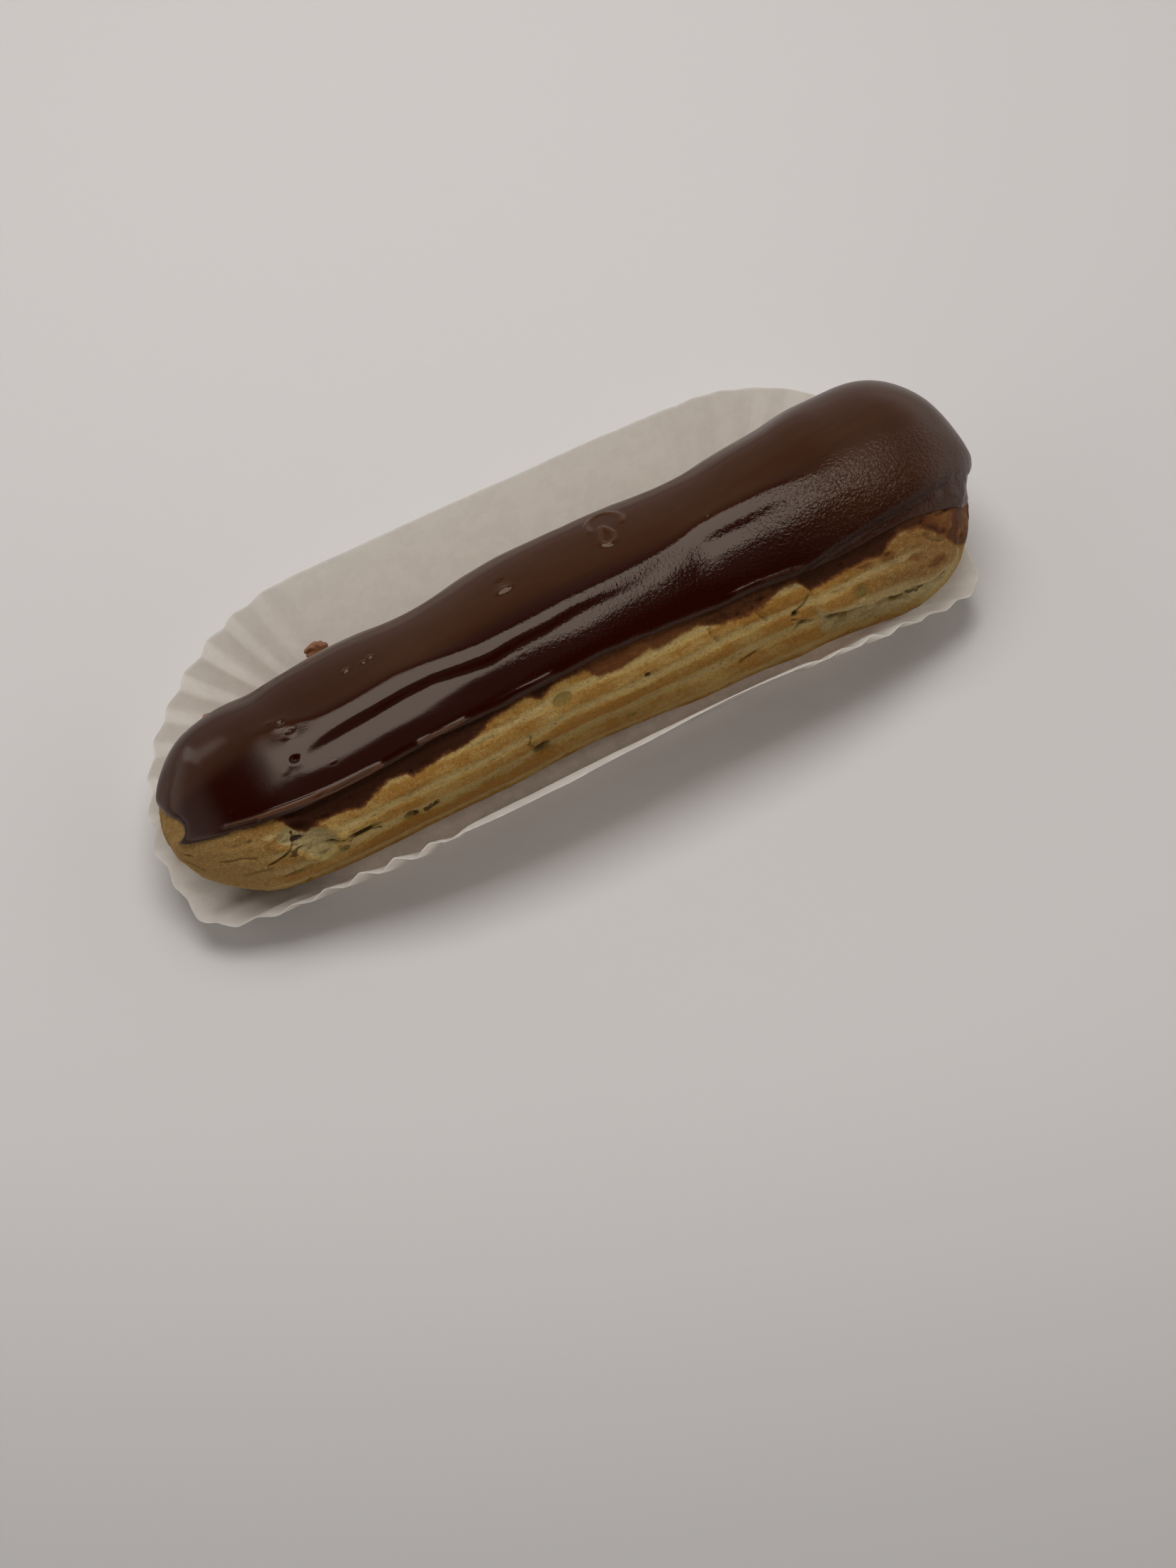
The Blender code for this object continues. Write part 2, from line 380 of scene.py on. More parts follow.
def skin(x, angle):
    """Points of the finger at each x (n) and at each of that x's angles in degrees (n, m), in mm."""
    place_x = np.repeat(np.asarray(x, float)[:, None], angle.shape[1], axis=1)
    past = np.clip((place_x - BLUNT_FROM) / (HALF_LENGTH - BLUNT_FROM), 0, 1)
    upper = ease(angle, 70, 125) * ease(250 - angle, 0, 40)
    fuller = past - FULLER * upper * (past * (1 - past)) ** 2
    source = np.where(past > 0, BLUNT_FROM + (HALF_LENGTH - BLUNT_FROM) * fuller, place_x)
    place = (np.arcsin(np.clip(source / HALF_LENGTH, -1, 1)) / pi + 0.5) * (len(CRESTS) - 3)
    first = np.minimum(place.astype(int), len(CRESTS) - 4)
    turn = angle / 360 * RIB_COUNT
    start = np.floor(turn).astype(int)
    points = 0
    for i, along in enumerate(smooth_weights(place - first)):
        for k, around in enumerate(four_weights(turn - start)):
            points = points + CRESTS[first + i, (start + k - 1) % RIB_COUNT] * (along * around)[:, :, None]
    points[:, :, 0] = place_x
    bend = BEND * ease(-place_x, 48, 76)
    # the ends lean out along X, but not the fat end's near side or the thin end's underside
    lean = ease(place_x, 40, 76) * (0.06 * (points[:, :, 1] + 3.4) + 0.05 * (points[:, :, 2] - 15) + 0.3)
    lean -= ease(-place_x, 50, 76) * 0.7
    back = table_line(BACK_BULGE, place_x, 33) * ease(angle, 95, 140) * ease(235 - angle, 0, 50)
    lean -= 0.9 * ease(place_x, 60, 72) * ease(angle, -5, 15) * ease(55 - angle, 0, 25)
    under = 0.12 * np.maximum(-8 - points[:, :, 1], 0) + 0.05 * np.maximum(12 - points[:, :, 2], 0)
    points[:, :, 0] += lean + under * ease(-place_x, 44, 74)
    # how the far side, the near foot and the top stand off the solid
    foot = table_line(NEAR_SAG, place_x, 33) * ease(16 - angle, 0, 26) * ease(angle, -60, -38)
    points[:, :, 1] += bend + 0.9 * back - foot
    points[:, :, 2] += 0.45 * back
    top = table_line(TOP_RISE, place_x, 33) - SHOULDER * (1 - ease(place_x, -64.5, -54))
    points[:, :, 2] += top * ease(angle, 45, 80) * ease(160 - angle, 0, 40)
    return points


def skin_normals(x, angle):
    """Outward normals of the skin at the same places."""
    step = 0.25
    ahead = skin(np.minimum(x + step, HALF_LENGTH), angle) - skin(np.maximum(x - step, -HALF_LENGTH), angle)
    around = skin(x, angle + 1.5) - skin(x, angle - 1.5)
    normals = np.cross(ahead, around)
    normals[x < 0.4 - HALF_LENGTH] = (-1, 0, 0)
    normals[x > HALF_LENGTH - 0.2] = (1, 0, 0)
    return normals / np.maximum(np.linalg.norm(normals, axis=-1, keepdims=True), 1e-9)


def stations(bands, count):
    """Places along X at even steps over the skin at WALK_ANGLE; a band is (from, to, its share), in mm."""
    fine = HALF_LENGTH * np.sin(np.linspace(-pi / 2, pi / 2, 4001))
    line = skin(fine, np.full((len(fine), 1), WALK_ANGLE))[:, 0]
    walked = np.concatenate([[0], np.cumsum(np.linalg.norm(np.diff(line, axis=0), axis=1))])
    edges = [bands[0][0]] + [min(band[1], walked[-1]) for band in bands]
    shares = np.concatenate([[0], np.cumsum([band[2] for band in bands])])
    even = np.interp(np.linspace(0, shares[-1], count), shares, edges)
    return np.interp(even, walked, fine), even


print("over the top, mm:", round(float(stations(((0, 999, 1),), 2)[1][1]), 1))

# %% [markdown]
# ## Helpers for relief
#
# Pastry and icing are sculpted the way a modeller would with brushes, but in code: noise for lumps, blobs
# for pits and pimples, strokes for cracks and ridges. Each is a height over the finger's skin, and a sphere
# primitive with thousands of points is drawn out along X and pushed to the result.


# %% Noise, blobs and strokes
NOISE_CELLS = 48
MM_PER_DEGREE = 0.3


def noise(points, size, seed):
    """Smooth noise from -1 to 1 with features of this size, in mm."""
    table_of_values = np.random.default_rng(seed).uniform(-1, 1, (NOISE_CELLS,) * 3)
    place = points / np.asarray(size, float)
    cell = np.floor(place).astype(int)
    part = place - cell
    part = part * part * (3 - 2 * part)
    total = 0
    for corner in np.ndindex(2, 2, 2):
        weight = np.where(corner, part, 1 - part).prod(axis=-1)
        index = (cell + corner) % NOISE_CELLS
        total = total + weight * table_of_values[index[..., 0], index[..., 1], index[..., 2]]
    return total


def bell(value, width):
    """1 where value is 0, falling to 0 on both sides over this width."""
    return np.exp(-((value / width) ** 2))


def blob(x, angle, centre, size):
    """1 at the centre (x, degrees), falling to 0 over an oval of this half size in mm."""
    across = (angle - centre[1]) * MM_PER_DEGREE
    return np.exp(-(((x - centre[0]) / size[0]) ** 2) - (across / size[1]) ** 2)


def stroke_distance(x, angle, points):
    """How far each place is from a line through these points (x, degrees), in mm."""
    here = np.stack([x, angle * MM_PER_DEGREE], -1)
    route = np.array(points, float) * (1, MM_PER_DEGREE)
    nearest = np.full(x.shape, 1e9)
    for start, end in zip(route, route[1:]):
        run = end - start
        t = np.clip(((here - start) @ run) / (run @ run), 0, 1)
        nearest = np.minimum(nearest, np.linalg.norm(here - start - t[..., None] * run, axis=-1))
    return nearest


def stroke(x, angle, points, width):
    """1 along a line through these points (x, degrees), falling to 0 over this width in mm."""
    return bell(stroke_distance(x, angle, points), width)


# %% A sphere drawn out into a grid of points
def spread_angles(bands, count):
    """Angles round the finger: each band is (from, to, how many share), in degrees."""
    edges = [bands[0][0]] + [band[1] for band in bands]
    shares = np.concatenate([[0], np.cumsum([band[2] for band in bands])])
    return np.interp(np.linspace(0, shares[-1], count, endpoint=False), shares, edges)


def sphere_from_grid(name, grid, masks):
    """A sphere primitive whose rings and segments are put where the grid's rows and columns say."""
    rings, segments = grid.shape[0] - 1, grid.shape[1]
    bpy.ops.object.select_all(action="DESELECT")
    bpy.ops.mesh.primitive_uv_sphere_add(segments=segments, ring_count=rings, radius=1)
    piece = bpy.context.object
    piece.name = name
    unit = read_points(piece.data).astype(float)
    ring = np.rint(np.arctan2(np.hypot(unit[:, 0], unit[:, 1]), -unit[:, 2]) / pi * rings).astype(int)
    segment = np.rint(-np.arctan2(unit[:, 1], unit[:, 0]) / (2 * pi) * segments).astype(int) % segments
    grid = grid.copy()
    grid[0] = grid[0].mean(axis=0)
    grid[-1] = grid[-1].mean(axis=0)
    piece.data.vertices.foreach_set("co", (grid[ring, segment] * MM).ravel())
    for mask_name, mask in masks.items():
        layer = piece.data.attributes.new(mask_name, "FLOAT", "POINT")
        layer.data.foreach_set("value", mask[ring, segment].ravel())
    piece.data.update()
    bpy.ops.object.shade_smooth()
    return piece


def report(piece):
    """Says how large a piece came out and of how many triangles."""
    piece.data.calc_loop_triangles()
    low, high = (np.array(piece.bound_box)[k] for k in (0, 6))
    print(piece.name, len(piece.data.loop_triangles), "triangles, mm:", np.round((high - low) / MM, 1))


print("relief helpers ready")

# %% [markdown]
# ## The choux pastry
#
# The star nozzle leaves ribs all along it. They run a little crooked, their crests bake amber, and the skin
# between them stays pale, porous and finely cracked. At the thin end the crust has burst and shows greenish
# crumb; at the fat end one broad flap of crust overhangs a pale groove. All this is relief on one grid, with
# masks for the material painted at the same time. The grid is fine where pastry shows and coarse under the
# icing.

# %% Places on the pastry's skin
PASTRY_ROWS = 430
PASTRY_COLUMNS = 224
PASTRY_BANDS = ((-60, -22, 0.45), (-22, 58, 2.2), (58, 120, 0.22), (120, 205, 1.5), (205, 300, 0.5))
RIB_TURNS = (
    # angle, ribs counted round from the one that faces the near side; whole numbers are crests
    (-60, -4.5), (-22, -2), (-12, -1.5), (-1, -1), (11, -0.5), (20, 0), (27.7, 0.5), (36, 1), (44, 1.5),
    (52, 2), (60, 2.5), (300, 18.5),
)
RIB_DROP = (
    (-74, -3), (-60, 0), (-43, 0), (-30, 1.2), (-16, 3.5), (4, 5), (12, 3), (21, 0.6), (31, -0.6), (74, -3),
)

pastry_x = stations(((0, 999, 1),), PASTRY_ROWS + 1)[0]
pastry_angles = spread_angles(PASTRY_BANDS, PASTRY_COLUMNS)
ANGLE = np.tile(pastry_angles, (PASTRY_ROWS + 1, 1))
PASTRY = skin(pastry_x, ANGLE)
X = PASTRY[:, :, 0]
TIP = HALF_LENGTH - np.abs(X)
print("pastry grid:", X.shape)

# %% Ribs, and how they wander
rib_angle = ANGLE + np.interp(X, *np.array(RIB_DROP).T) * ease(60 - ANGLE, 0, 15) * ease(ANGLE + 40, 0, 20)
rib_angle += 1.4 * noise(PASTRY, (30, 9, 9), 11) + 1.3 * noise(PASTRY, (8, 5, 5), 12)
rib_turn = np.cos(2 * pi * np.interp(rib_angle, *np.array(RIB_TURNS).T))
crest = ease(rib_turn, -1.0, 0.35)
rib_fade = ease(HALF_LENGTH - 2 + X, 2, 13) * ease(TIP, 2, 14) * (0.72 + 0.28 * noise(PASTRY, (20, 6, 6), 13))
rib_fade *= 1 - 0.75 * ease(ANGLE, 58, 66) * ease(122 - ANGLE, 0, 8)
rib_fade *= 1 - 0.5 * ease(X, 46, 60)
height = 0.30 * (crest - 0.72) * rib_fade
height += 0.30 * noise(PASTRY, (14, 8, 8), 14) + 0.13 * noise(PASTRY, (4.5, 3, 3), 15)
height += 0.09 * noise(PASTRY, (1.6, 0.9, 0.9), 16) * (1.4 - crest * rib_fade)
print("rib relief, mm:", np.round(np.ptp(height), 2))

# %% The burst in the crust at the thin end
burst_edge = stroke_distance(X, ANGLE, ((-57.6, 38), (-56.2, 31), (-53.6, 22))) + 0.8 * noise(PASTRY, 1.6, 21)
burst = ease(-burst_edge, -3.0, -2.0)
bulge = blob(X, ANGLE, (-54.6, 14.0), (2.9, 2.3))
burst_crack = stroke(X, ANGLE, ((-57.6, 41), (-58.0, 35), (-58.3, 30), (-60.2, 25), (-62.6, 22)), 0.26)
burst_crack = np.maximum(burst_crack, stroke(X, ANGLE, ((-57.6, 37), (-56.6, 35)), 0.35))
burst_crack = np.maximum(burst_crack, 0.5 * stroke(X, ANGLE, ((-53.0, 20), (-49.5, 17.5), (-45.4, 17)), 0.4))
height += -0.55 * burst + 0.30 * burst * noise(PASTRY, (1.5, 0.8, 0.8), 22)
bulge_rim = bell(bulge - 0.3, 0.14)
height += 0.9 * bulge - 0.35 * bulge_rim - 0.75 * burst_crack
height += 0.35 * ease(-np.abs(burst_edge - 3.4), -1.2, 0)
print("burst over", round(float(burst.mean() * 100), 2), "% of the grid")

# %% The overhanging flap of crust at the fat end
FLAP_EDGE = (
    (34.8, 27), (36.6, 19), (38.6, 13), (41.5, 10), (46, 8.5), (52, 8), (58.5, 6), (62.5, 7), (66, 12),
)
FLAP_RISE = 0.8
flap_angle = np.interp(X, *np.array(FLAP_EDGE).T) + 1.6 * noise(PASTRY, 2.2, 31)
above = (ANGLE - flap_angle) * MM_PER_DEGREE
flap_here = ease(X, 35.2, 38) * ease(68 - X, 0, 7)
flap = flap_here * ease(above, -0.15, 0.35) * ease(9 - above, 0, 8.5)
groove = flap_here * ease(above, -6.4, -4.4) * ease(-above, -0.1, 0.5)
# painted shadow: a line just below the flap's edge is sunk a little and also painted dark, for the shade of
# the overhang
groove_and_flap_shadow = flap_here * bell(above + 1.7, 0.75) * (0.8 + 0.4 * noise(PASTRY, (3.5, 1, 1), 33))
flap_lip = flap_here * bell(above - 0.3, 0.8)
height += FLAP_RISE * flap - 0.7 * groove * (0.75 + 0.35 * noise(PASTRY, 1.3, 32)) - 0.35 * groove_and_flap_shadow
print("flap stands out by, mm:", round(float((FLAP_RISE * flap).max()), 2))

# %% Cracks, pits and pores
CRACKS = (
    # width, depth, points
    (0.26, 0.45, ((-16.4, 25), (-16.0, 21), (-16.6, 17), (-15.9, 13))),
    (0.26, 0.40, ((18.1, 40), (18.4, 34), (19.1, 28))),
    (0.30, 0.45, ((26.3, 41), (27.0, 34), (27.9, 28))),
    (0.35, 0.50, ((35.6, 33), (34.6, 28), (32.8, 25))),
    (0.28, 0.45, ((33.6, 17), (32.0, 20))),
    (0.28, 0.45, ((33.8, 15), (35.6, 12.5))),
    (0.24, 0.35, ((33.2, 14), (32.2, 10.5))),
    (0.28, 0.30, ((-69, 30), (-66.4, 33), (-64.2, 31))),
    (0.28, 0.30, ((-66.5, 14), (-63.6, 17), (-61.8, 13))),
    (0.26, 0.30, ((57.4, 38), (58.6, 31), (60.6, 27))),
    (0.40, 0.50, ((22, 3), (25, 5.5))),
    (0.40, 0.40, ((-8, 150), (-6.5, 158), (-7.4, 166))),
    (0.40, 0.40, ((31, 168), (36, 172), (43, 170))),
)
PITS = (
    # x, angle, half length, half height, depth
    (-57.5, 34.5, 0.5, 0.45, 1.1),
    (-46.0, 16.5, 2.2, 0.5, 0.6),
    (-50.6, 7.5, 0.8, 0.8, 0.5),
    (-38.8, 8.5, 0.9, 0.9, 0.7),
    (-34.0, 8, 0.45, 0.6, 0.6),
    (-58.6, 4.5, 1.1, 0.5, 0.5),
    (-14.4, 7, 1.45, 1.1, 1.0),
    (-9.0, 37.4, 1.6, 1.2, 0.5),
    (6.0, 25.7, 0.5, 0.45, 1.0),
    (32.7, 23.5, 0.55, 0.45, 1.0),
    (33.7, 14.5, 0.8, 0.35, 0.7),
    (44.5, 20.3, 1.0, 1.2, 0.5),
    (41.4, 4.0, 1.0, 1.1, 0.6),
    (50.9, 1.0, 1.2, 0.9, 1.0),
    (61.4, 2.5, 0.8, 0.5, 0.6),
    (66.0, 14, 1.3, 0.9, 0.5),
    (2.0, -4, 0.9, 0.5, 0.5),
    (-22, 168, 1.2, 0.6, 0.8),
    (14, 182, 0.9, 0.6, 0.7),
    (48, 176, 1.3, 0.7, 0.8),
)
STAINS = (
    # x, angle, half length, half height, how dark: where the crust is toasted brown or splashed
    (59.8, 41.8, 2.0, 1.0, 1.0),
    (58.6, 18.1, 1.9, 1.0, 1.0),
    (62.1, 34.6, 1.6, 1.4, 0.8),
    (63.6, 24.0, 1.6, 1.8, 0.75),
    (66.7, 13.9, 1.6, 1.9, 0.7),
    (54.7, 27.3, 1.8, 0.8, 0.7),
    (50.4, 35.6, 1.7, 0.9, 0.85),
    (46.0, 36.0, 2.2, 0.6, 0.7),
    (41.0, 28.0, 3.0, 0.6, 0.45),
    (49.0, 20.0, 3.5, 0.6, 0.4),
    (-63.4, 19.0, 2.6, 0.8, 0.45),
    (-68.5, 27.0, 2.0, 1.0, 0.35),
    (-60.2, 4.5, 1.2, 0.5, 0.8),
    (-30.5, 44.0, 0.5, 0.4, 0.8),
)
PORES = 900
# the dark mask: burst cracks, the bulge's rim, torn specks, and the painted shadow under the flap
dark = 0.8 * burst_crack + 0.85 * np.clip(groove_and_flap_shadow, 0, 1) + 0.45 * bulge_rim
torn_row = 1.1 * blob(X, ANGLE, (-47.5, 15.0), (4.4, 1.5)) + 0.9 * blob(X, ANGLE, (-36.0, 8.0), (5.0, 1.4))
torn_end = 0.9 * blob(X, ANGLE, (55, 3.0), (10, 1.9)) * groove
torn_row += torn_end + 0.8 * blob(X, ANGLE, (-58.5, 27), (2.0, 1.6))
dark = np.maximum(dark, ease(torn_row + 0.7 * noise(PASTRY, (0.9, 0.5, 0.5), 34), 0.65, 1.10))
stained = np.zeros(X.shape)
for place_x, place_angle, half_length, half_height, strength in STAINS:
    stain = blob(X, ANGLE, (place_x, place_angle), (half_length, half_height))
    stained = np.maximum(stained, strength * stain)
bubble = stroke_distance(X, ANGLE, ((50.2, 36.2), (50.3, 36.2)))
height += 0.30 * bell(bubble - 0.75, 0.28) - 0.25 * bell(bubble, 0.4)
for width, depth, points in CRACKS:
    line = stroke(X, ANGLE, points, width)
    height -= depth * line
    dark = np.maximum(dark, 0.7 * line)
pitted = np.zeros(X.shape)
for place_x, place_angle, half_length, half_height, depth in PITS:
    pit = blob(X, ANGLE, (place_x, place_angle), (half_length, half_height)) ** 0.7
    height -= depth * pit
    pitted = np.maximum(pitted, pit)
    if depth > 0.65:
        dark = np.maximum(dark, min(depth, 1) * pit)
dice = np.random.default_rng(5)
for _ in range(PORES):
    row = dice.integers(12, PASTRY_ROWS - 12)
    column = dice.integers(0, PASTRY_COLUMNS)
    rows_near = slice(row - 5, row + 6)
    columns_near = slice(max(column - 6, 0), column + 7)
    size = dice.uniform(0.22, 0.5)
    centre = (X[row, column], ANGLE[row, column])
    keep = 1.0 if crest[row, column] < 0.5 else 0.25
    near = blob(X[rows_near, columns_near], ANGLE[rows_near, columns_near], centre, (size * 1.3, size))
    height[rows_near, columns_near] -= dice.uniform(0.15, 0.42) * keep * near
print("cracks:", len(CRACKS), "pits:", len(PITS), "pores:", PORES)

# %% Where chocolate has smeared below the lip
SMEAR = (
    # x, angle of the smear's lower edge, how thick it is
    (-74, 66, 0.0), (-62, 62, 0.0), (-58.4, 52, 0.6), (-57.1, 43, 1.0), (-55.4, 38.5, 1.0),
    (-52.9, 41, 0.95), (-48.7, 40.5, 1.0), (-45.5, 37, 1.0), (-43.1, 42, 1.0), (-40.1, 46, 1.0),
    (-37.2, 44, 1.0), (-36.6, 41, 1.0), (-31.7, 43.5, 1.0), (-26.8, 43.5, 0.95), (-24.1, 46, 0.9),
    (-21.1, 51, 0.9), (-14.5, 52, 0.8), (-12.3, 46, 0.95), (-9.5, 50.5, 0.8), (-3.8, 50, 0.7),
    (-1.9, 41, 0.5), (2.3, 39, 0.5), (6.8, 44, 0.45), (9.3, 41, 0.5), (12.7, 44.5, 0.5), (16.7, 47, 0.6),
    (20.1, 41, 0.75), (24.8, 40, 0.75), (28.7, 42, 0.7), (31.7, 46, 0.75), (34.7, 46, 0.8), (36.1, 37, 1.0),
    (40.3, 39, 1.0), (46.3, 40.5, 1.0), (49.5, 38.5, 1.0), (51.4, 44, 0.95), (53.6, 47, 0.8),
    (57.0, 44, 0.7), (59.3, 37, 0.75), (62.1, 24, 0.7), (64.5, 10, 0.65), (68.0, 0, 0.6), (71.0, -12, 0.6),
    (74, -40, 0.6),
)
smear_x, smear_angle, smear_weight = (np.array(column, float) for column in zip(*SMEAR))
smear_edge = np.interp(X, smear_x, smear_angle)
smear = (ANGLE - smear_edge) * MM_PER_DEGREE
far_edge = 141 + 5 * noise(PASTRY[:, :1].repeat(PASTRY_COLUMNS, 1) * (1, 0, 0), 7, 41)
smear = np.where(ANGLE > 90, (far_edge - ANGLE) * MM_PER_DEGREE, smear)
smear_strength = np.where(ANGLE > 90, 0.8 * ease(X, -69, -64), np.interp(X, smear_x, smear_weight))
smear_strength *= 1 - 0.55 * ease(X, 56, 62) * ease(noise(PASTRY, (1.8, 1.4, 1.4), 43), -0.25, 0.35)
print("smear reaches down to", smear_angle.min(), "degrees")

# %% The pastry's mesh
pastry_grid = PASTRY + height[:, :, None] * skin_normals(pastry_x, ANGLE)
pastry_grid[:, :, 2] = np.maximum(pastry_grid[:, :, 2], float(PASTRY[:, :, 2].min()))
browned = noise(PASTRY, (16, 7, 7), 42)
below_flap = flap_here * ease(-above, -1, 0)
baked = np.maximum(0.8 * ease(-X, 52, 68), ease(X, 34, 58)) * (1 - 0.7 * below_flap)
PASTRY_MASKS = {
    "crest": crest * rib_fade,
    "valley": (1 - below_flap) * np.clip(-rib_turn, 0, 1) * ease(rib_fade, 0.2, 0.5) * ease(60 - ANGLE, 0, 4),
    "baked_end": baked * ease(ANGLE + 30, 0, 30),
    "base": ease(6.2 - PASTRY[:, :, 2], 0.0, 1.2) * ease(90 - ANGLE, 0, 40) * (1 - 0.7 * below_flap),
    "flap_lip": flap_lip,
    "pitted": pitted,
    "burst": np.maximum(burst, 0.9 * groove),
    "bulge": bulge,
    "dark": dark,
    "stained": stained,
    "smear": smear,
    "smear_strength": smear_strength,
    "browned": browned,
}
pastry = sphere_from_grid("choux_pastry", pastry_grid, PASTRY_MASKS)
report(pastry)
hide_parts("choux_shell")
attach(pastry, "root")

# %% [markdown]
# ## The baked skin
#
# Choux is yellow from its eggs and browns where it stands proud. So the colour goes from pale straw in the
# valleys to amber on the crests, with clouds of deeper browning, a fine mealy speckle, dark pinholes, and
# greenish crumb where the crust has burst. Smeared chocolate lies over it with a torn lower edge.

# %% The pastry's finish
STRAW = (0.475, 0.315, 0.102)
AMBER = (0.355, 0.166, 0.031)
DEEP = (0.17, 0.068, 0.014)
TAN = (0.205, 0.094, 0.029)
CRUMB = (0.33, 0.275, 0.125)
BUBBLE_SKIN = (0.27, 0.215, 0.075)
CREAM = (0.52, 0.40, 0.19)
PIT = (0.050, 0.026, 0.008)
PIT_FLOOR = (0.23, 0.160, 0.044)
CRACK = (0.125, 0.075, 0.024)
STAIN = (0.16, 0.055, 0.016)
CHOCOLATE_SMEAR = (0.038, 0.0095, 0.0030)

choux = Finish("baked_choux")
mealy = choux.noise(0.9, 4.0, 0.7)
clouds = choux.noise(5, 3.0, 0.6, stretch=(1.8, 1, 1))
fine = choux.noise(0.32, 3.0, 0.75, stretch=(1.3, 1, 1))
broken = choux.noise(1.6, 3.0, 0.6, stretch=(2.5, 1, 1))
speckle = mealy - 0.5
drift = clouds - 0.5
grain = fine - 0.5
amber_mask = choux.step(choux.painted("crest") * 1.2 + drift * 2.6 + speckle * 1.8, 0.0, 1.15)
deep_mask = choux.step(choux.painted("browned") + drift * 2.2 + speckle * 1.2, 0.3, 1.5)
crumb = choux.mix(choux.step(broken + grain * 0.5, 0.35, 0.65), CRUMB, CREAM)
burst_mask = choux.step(choux.painted("burst") + speckle * 1.2, 0.15, 0.95)
base_mask = choux.step(choux.painted("base") + speckle * 1.2, 0.3, 1.1)
seam = choux.painted("valley") + speckle * 0.55 + grain * 0.45
cracked = choux.step(seam, 1.02, 1.10) * choux.step(broken, 0.43, 0.54)
stain_mask = choux.step(choux.painted("stained") + speckle * 0.9, 0.18, 0.75)
dark_mask = choux.step(choux.painted("dark") + grain * 0.6, 0.35, 1.0)
torn = choux.painted("smear") + drift * 1.6 + speckle * 0.9
spread = choux.step(torn, -1.2, 0.5) * choux.painted("smear_strength") * (0.55 + mealy * 0.9)
smear_mask = choux.step(spread, 0.3, 0.95)
colour = choux.coats(
    STRAW,
    (amber_mask, AMBER),
    (deep_mask * 0.55, DEEP),
    (choux.painted("baked_end") * (0.3 + mealy * 0.9), TAN),
    (burst_mask * 0.85, crumb),
    (choux.painted("bulge") * 0.7, BUBBLE_SKIN),
    (base_mask * 0.7, DEEP),
    (choux.step(seam, 0.62, 1.0) * 0.5, CREAM),
    (cracked * 0.8, CRACK),
    (choux.painted("flap_lip") * 0.75, CREAM),
    (choux.step(choux.painted("pitted"), 0.3, 0.5) * 0.9, PIT_FLOOR),
    ((1 - choux.step(fine, 0.30, 0.52)) * 0.5, DEEP),
    (choux.step(fine, 0.52, 0.74) * 0.5, CREAM),
    (stain_mask * 0.8, STAIN),
    (dark_mask * 0.9, PIT),
    (choux.step(spread, 0.0, 0.5), STAIN),
    (smear_mask, CHOCOLATE_SMEAR),
)
rough = 0.7 - smear_mask * 0.36 + speckle * 0.2
choux.finish(Base_Color=colour, Roughness=rough, Specular_IOR_Level=0.10, Specular_Tint=(1.0, 0.85, 0.6))
choux.relief(mealy * 0.6 + fine * 0.9 - cracked * 0.5, 0.30)
choux.put_on(pastry)
print("choux nodes:", len(choux.tree.nodes))

# %% [markdown]
# ## The icing
#
# The warm icing was smoothed on and ran down a little before it set. So it is a closed skin of its own,
# about 1.3 mm thick, with a round bead at its lower edge that overhangs the pastry. Its columns run from
# bead to bead, so that the edge is crisp wherever it wanders; on the underside they sink into the pastry.

# %% Where the icing ends
LIP = (
    # x, angle of the lip on the near side
    (-74, 63), (-73, 61), (-72.2, 57), (-70.7, 57.5), (-68, 57.5), (-64.8, 57), (-61.8, 55.5), (-57.9, 54),
    (-53.7, 53), (-50, 53), (-43, 53.5), (-40.3, 53), (-36, 54), (-30, 54.5), (-25, 54), (-20, 53),
    (-15.9, 52), (-10, 51), (-4.3, 51), (2, 51.5), (7.5, 51.5), (14.7, 51.5), (19.4, 51), (26, 50.5),
    (31.2, 50), (37, 48), (42.8, 47.5), (49, 49), (54.4, 50), (58, 49), (61, 47), (64, 43), (67, 37),
    (69, 31), (71, 23), (72.5, 12), (73.5, -5), (74, -20),
)
FAR_LIP = (
    (-74, 150), (-72, 154), (-68, 158), (-62, 158), (-55, 155), (-46, 149), (-38, 156), (-30, 150),
    (-20, 147), (-12, 153), (-4, 150), (6, 146), (16, 151), (24, 148), (34, 153), (44, 150), (54, 155),
    (60, 160), (66, 170), (70, 182), (72.5, 196), (73.5, 210), (74, 225),
)
THICK_LINE = (
    # x, angle below which only a thin film is left
    (-74, -9), (30, -9), (33, 40), (36, 51), (42, 54.5), (47, 56.5), (55, 59), (61, 60.5), (67, 60),
    (69, 58), (71, 54), (72.5, 48), (74, 30),
)
START_LINE = (
    # angle, x where the icing begins there
    (40, -72.5), (56, -72.6), (60, -73.0), (63, -73.0), (67, -72.2), (72, -71.5), (80, -71.1), (88, -71.3),
    (96, -71.8), (108, -72.3), (125, -72.6), (160, -72.8), (200, -73.2),
)
ICING_THICKNESS = 1.3
THIN_ICING = 0.32
BEAD = 1.5
ICING_INSET = -1.1

ICING_ROWS = 440
ICING_COLUMNS = 196
BEAD_COLUMNS = 14
UNDER_COLUMNS = 12
ICING_ROW_BANDS = ((0, 2, 0.3), (2, 8, 3.2), (8, 40, 1.15 * 5.3), (40, 150, 18.3), (150, 999, 2.4))
icing_x, icing_walk = stations(ICING_ROW_BANDS, ICING_ROWS + 1)
near_lip = table_line(LIP, icing_x) + 0.5 * noise(icing_x[:, None] * (1, 0, 0), 3.1, 51)
far_lip = table_line(FAR_LIP, icing_x) + 1.6 * noise(icing_x[:, None] * (1, 0, 0), 4.7, 52)
ring_width = np.ptp(skin(icing_x, np.tile((0.0, 180.0), (len(icing_x), 1)))[:, :, 1], axis=1) / 2
degree = np.maximum(ring_width, 0.5) * pi / 180
print("icing rows:", len(icing_x), "lip, degrees:", near_lip.min().round(), "to", near_lip.max().round())

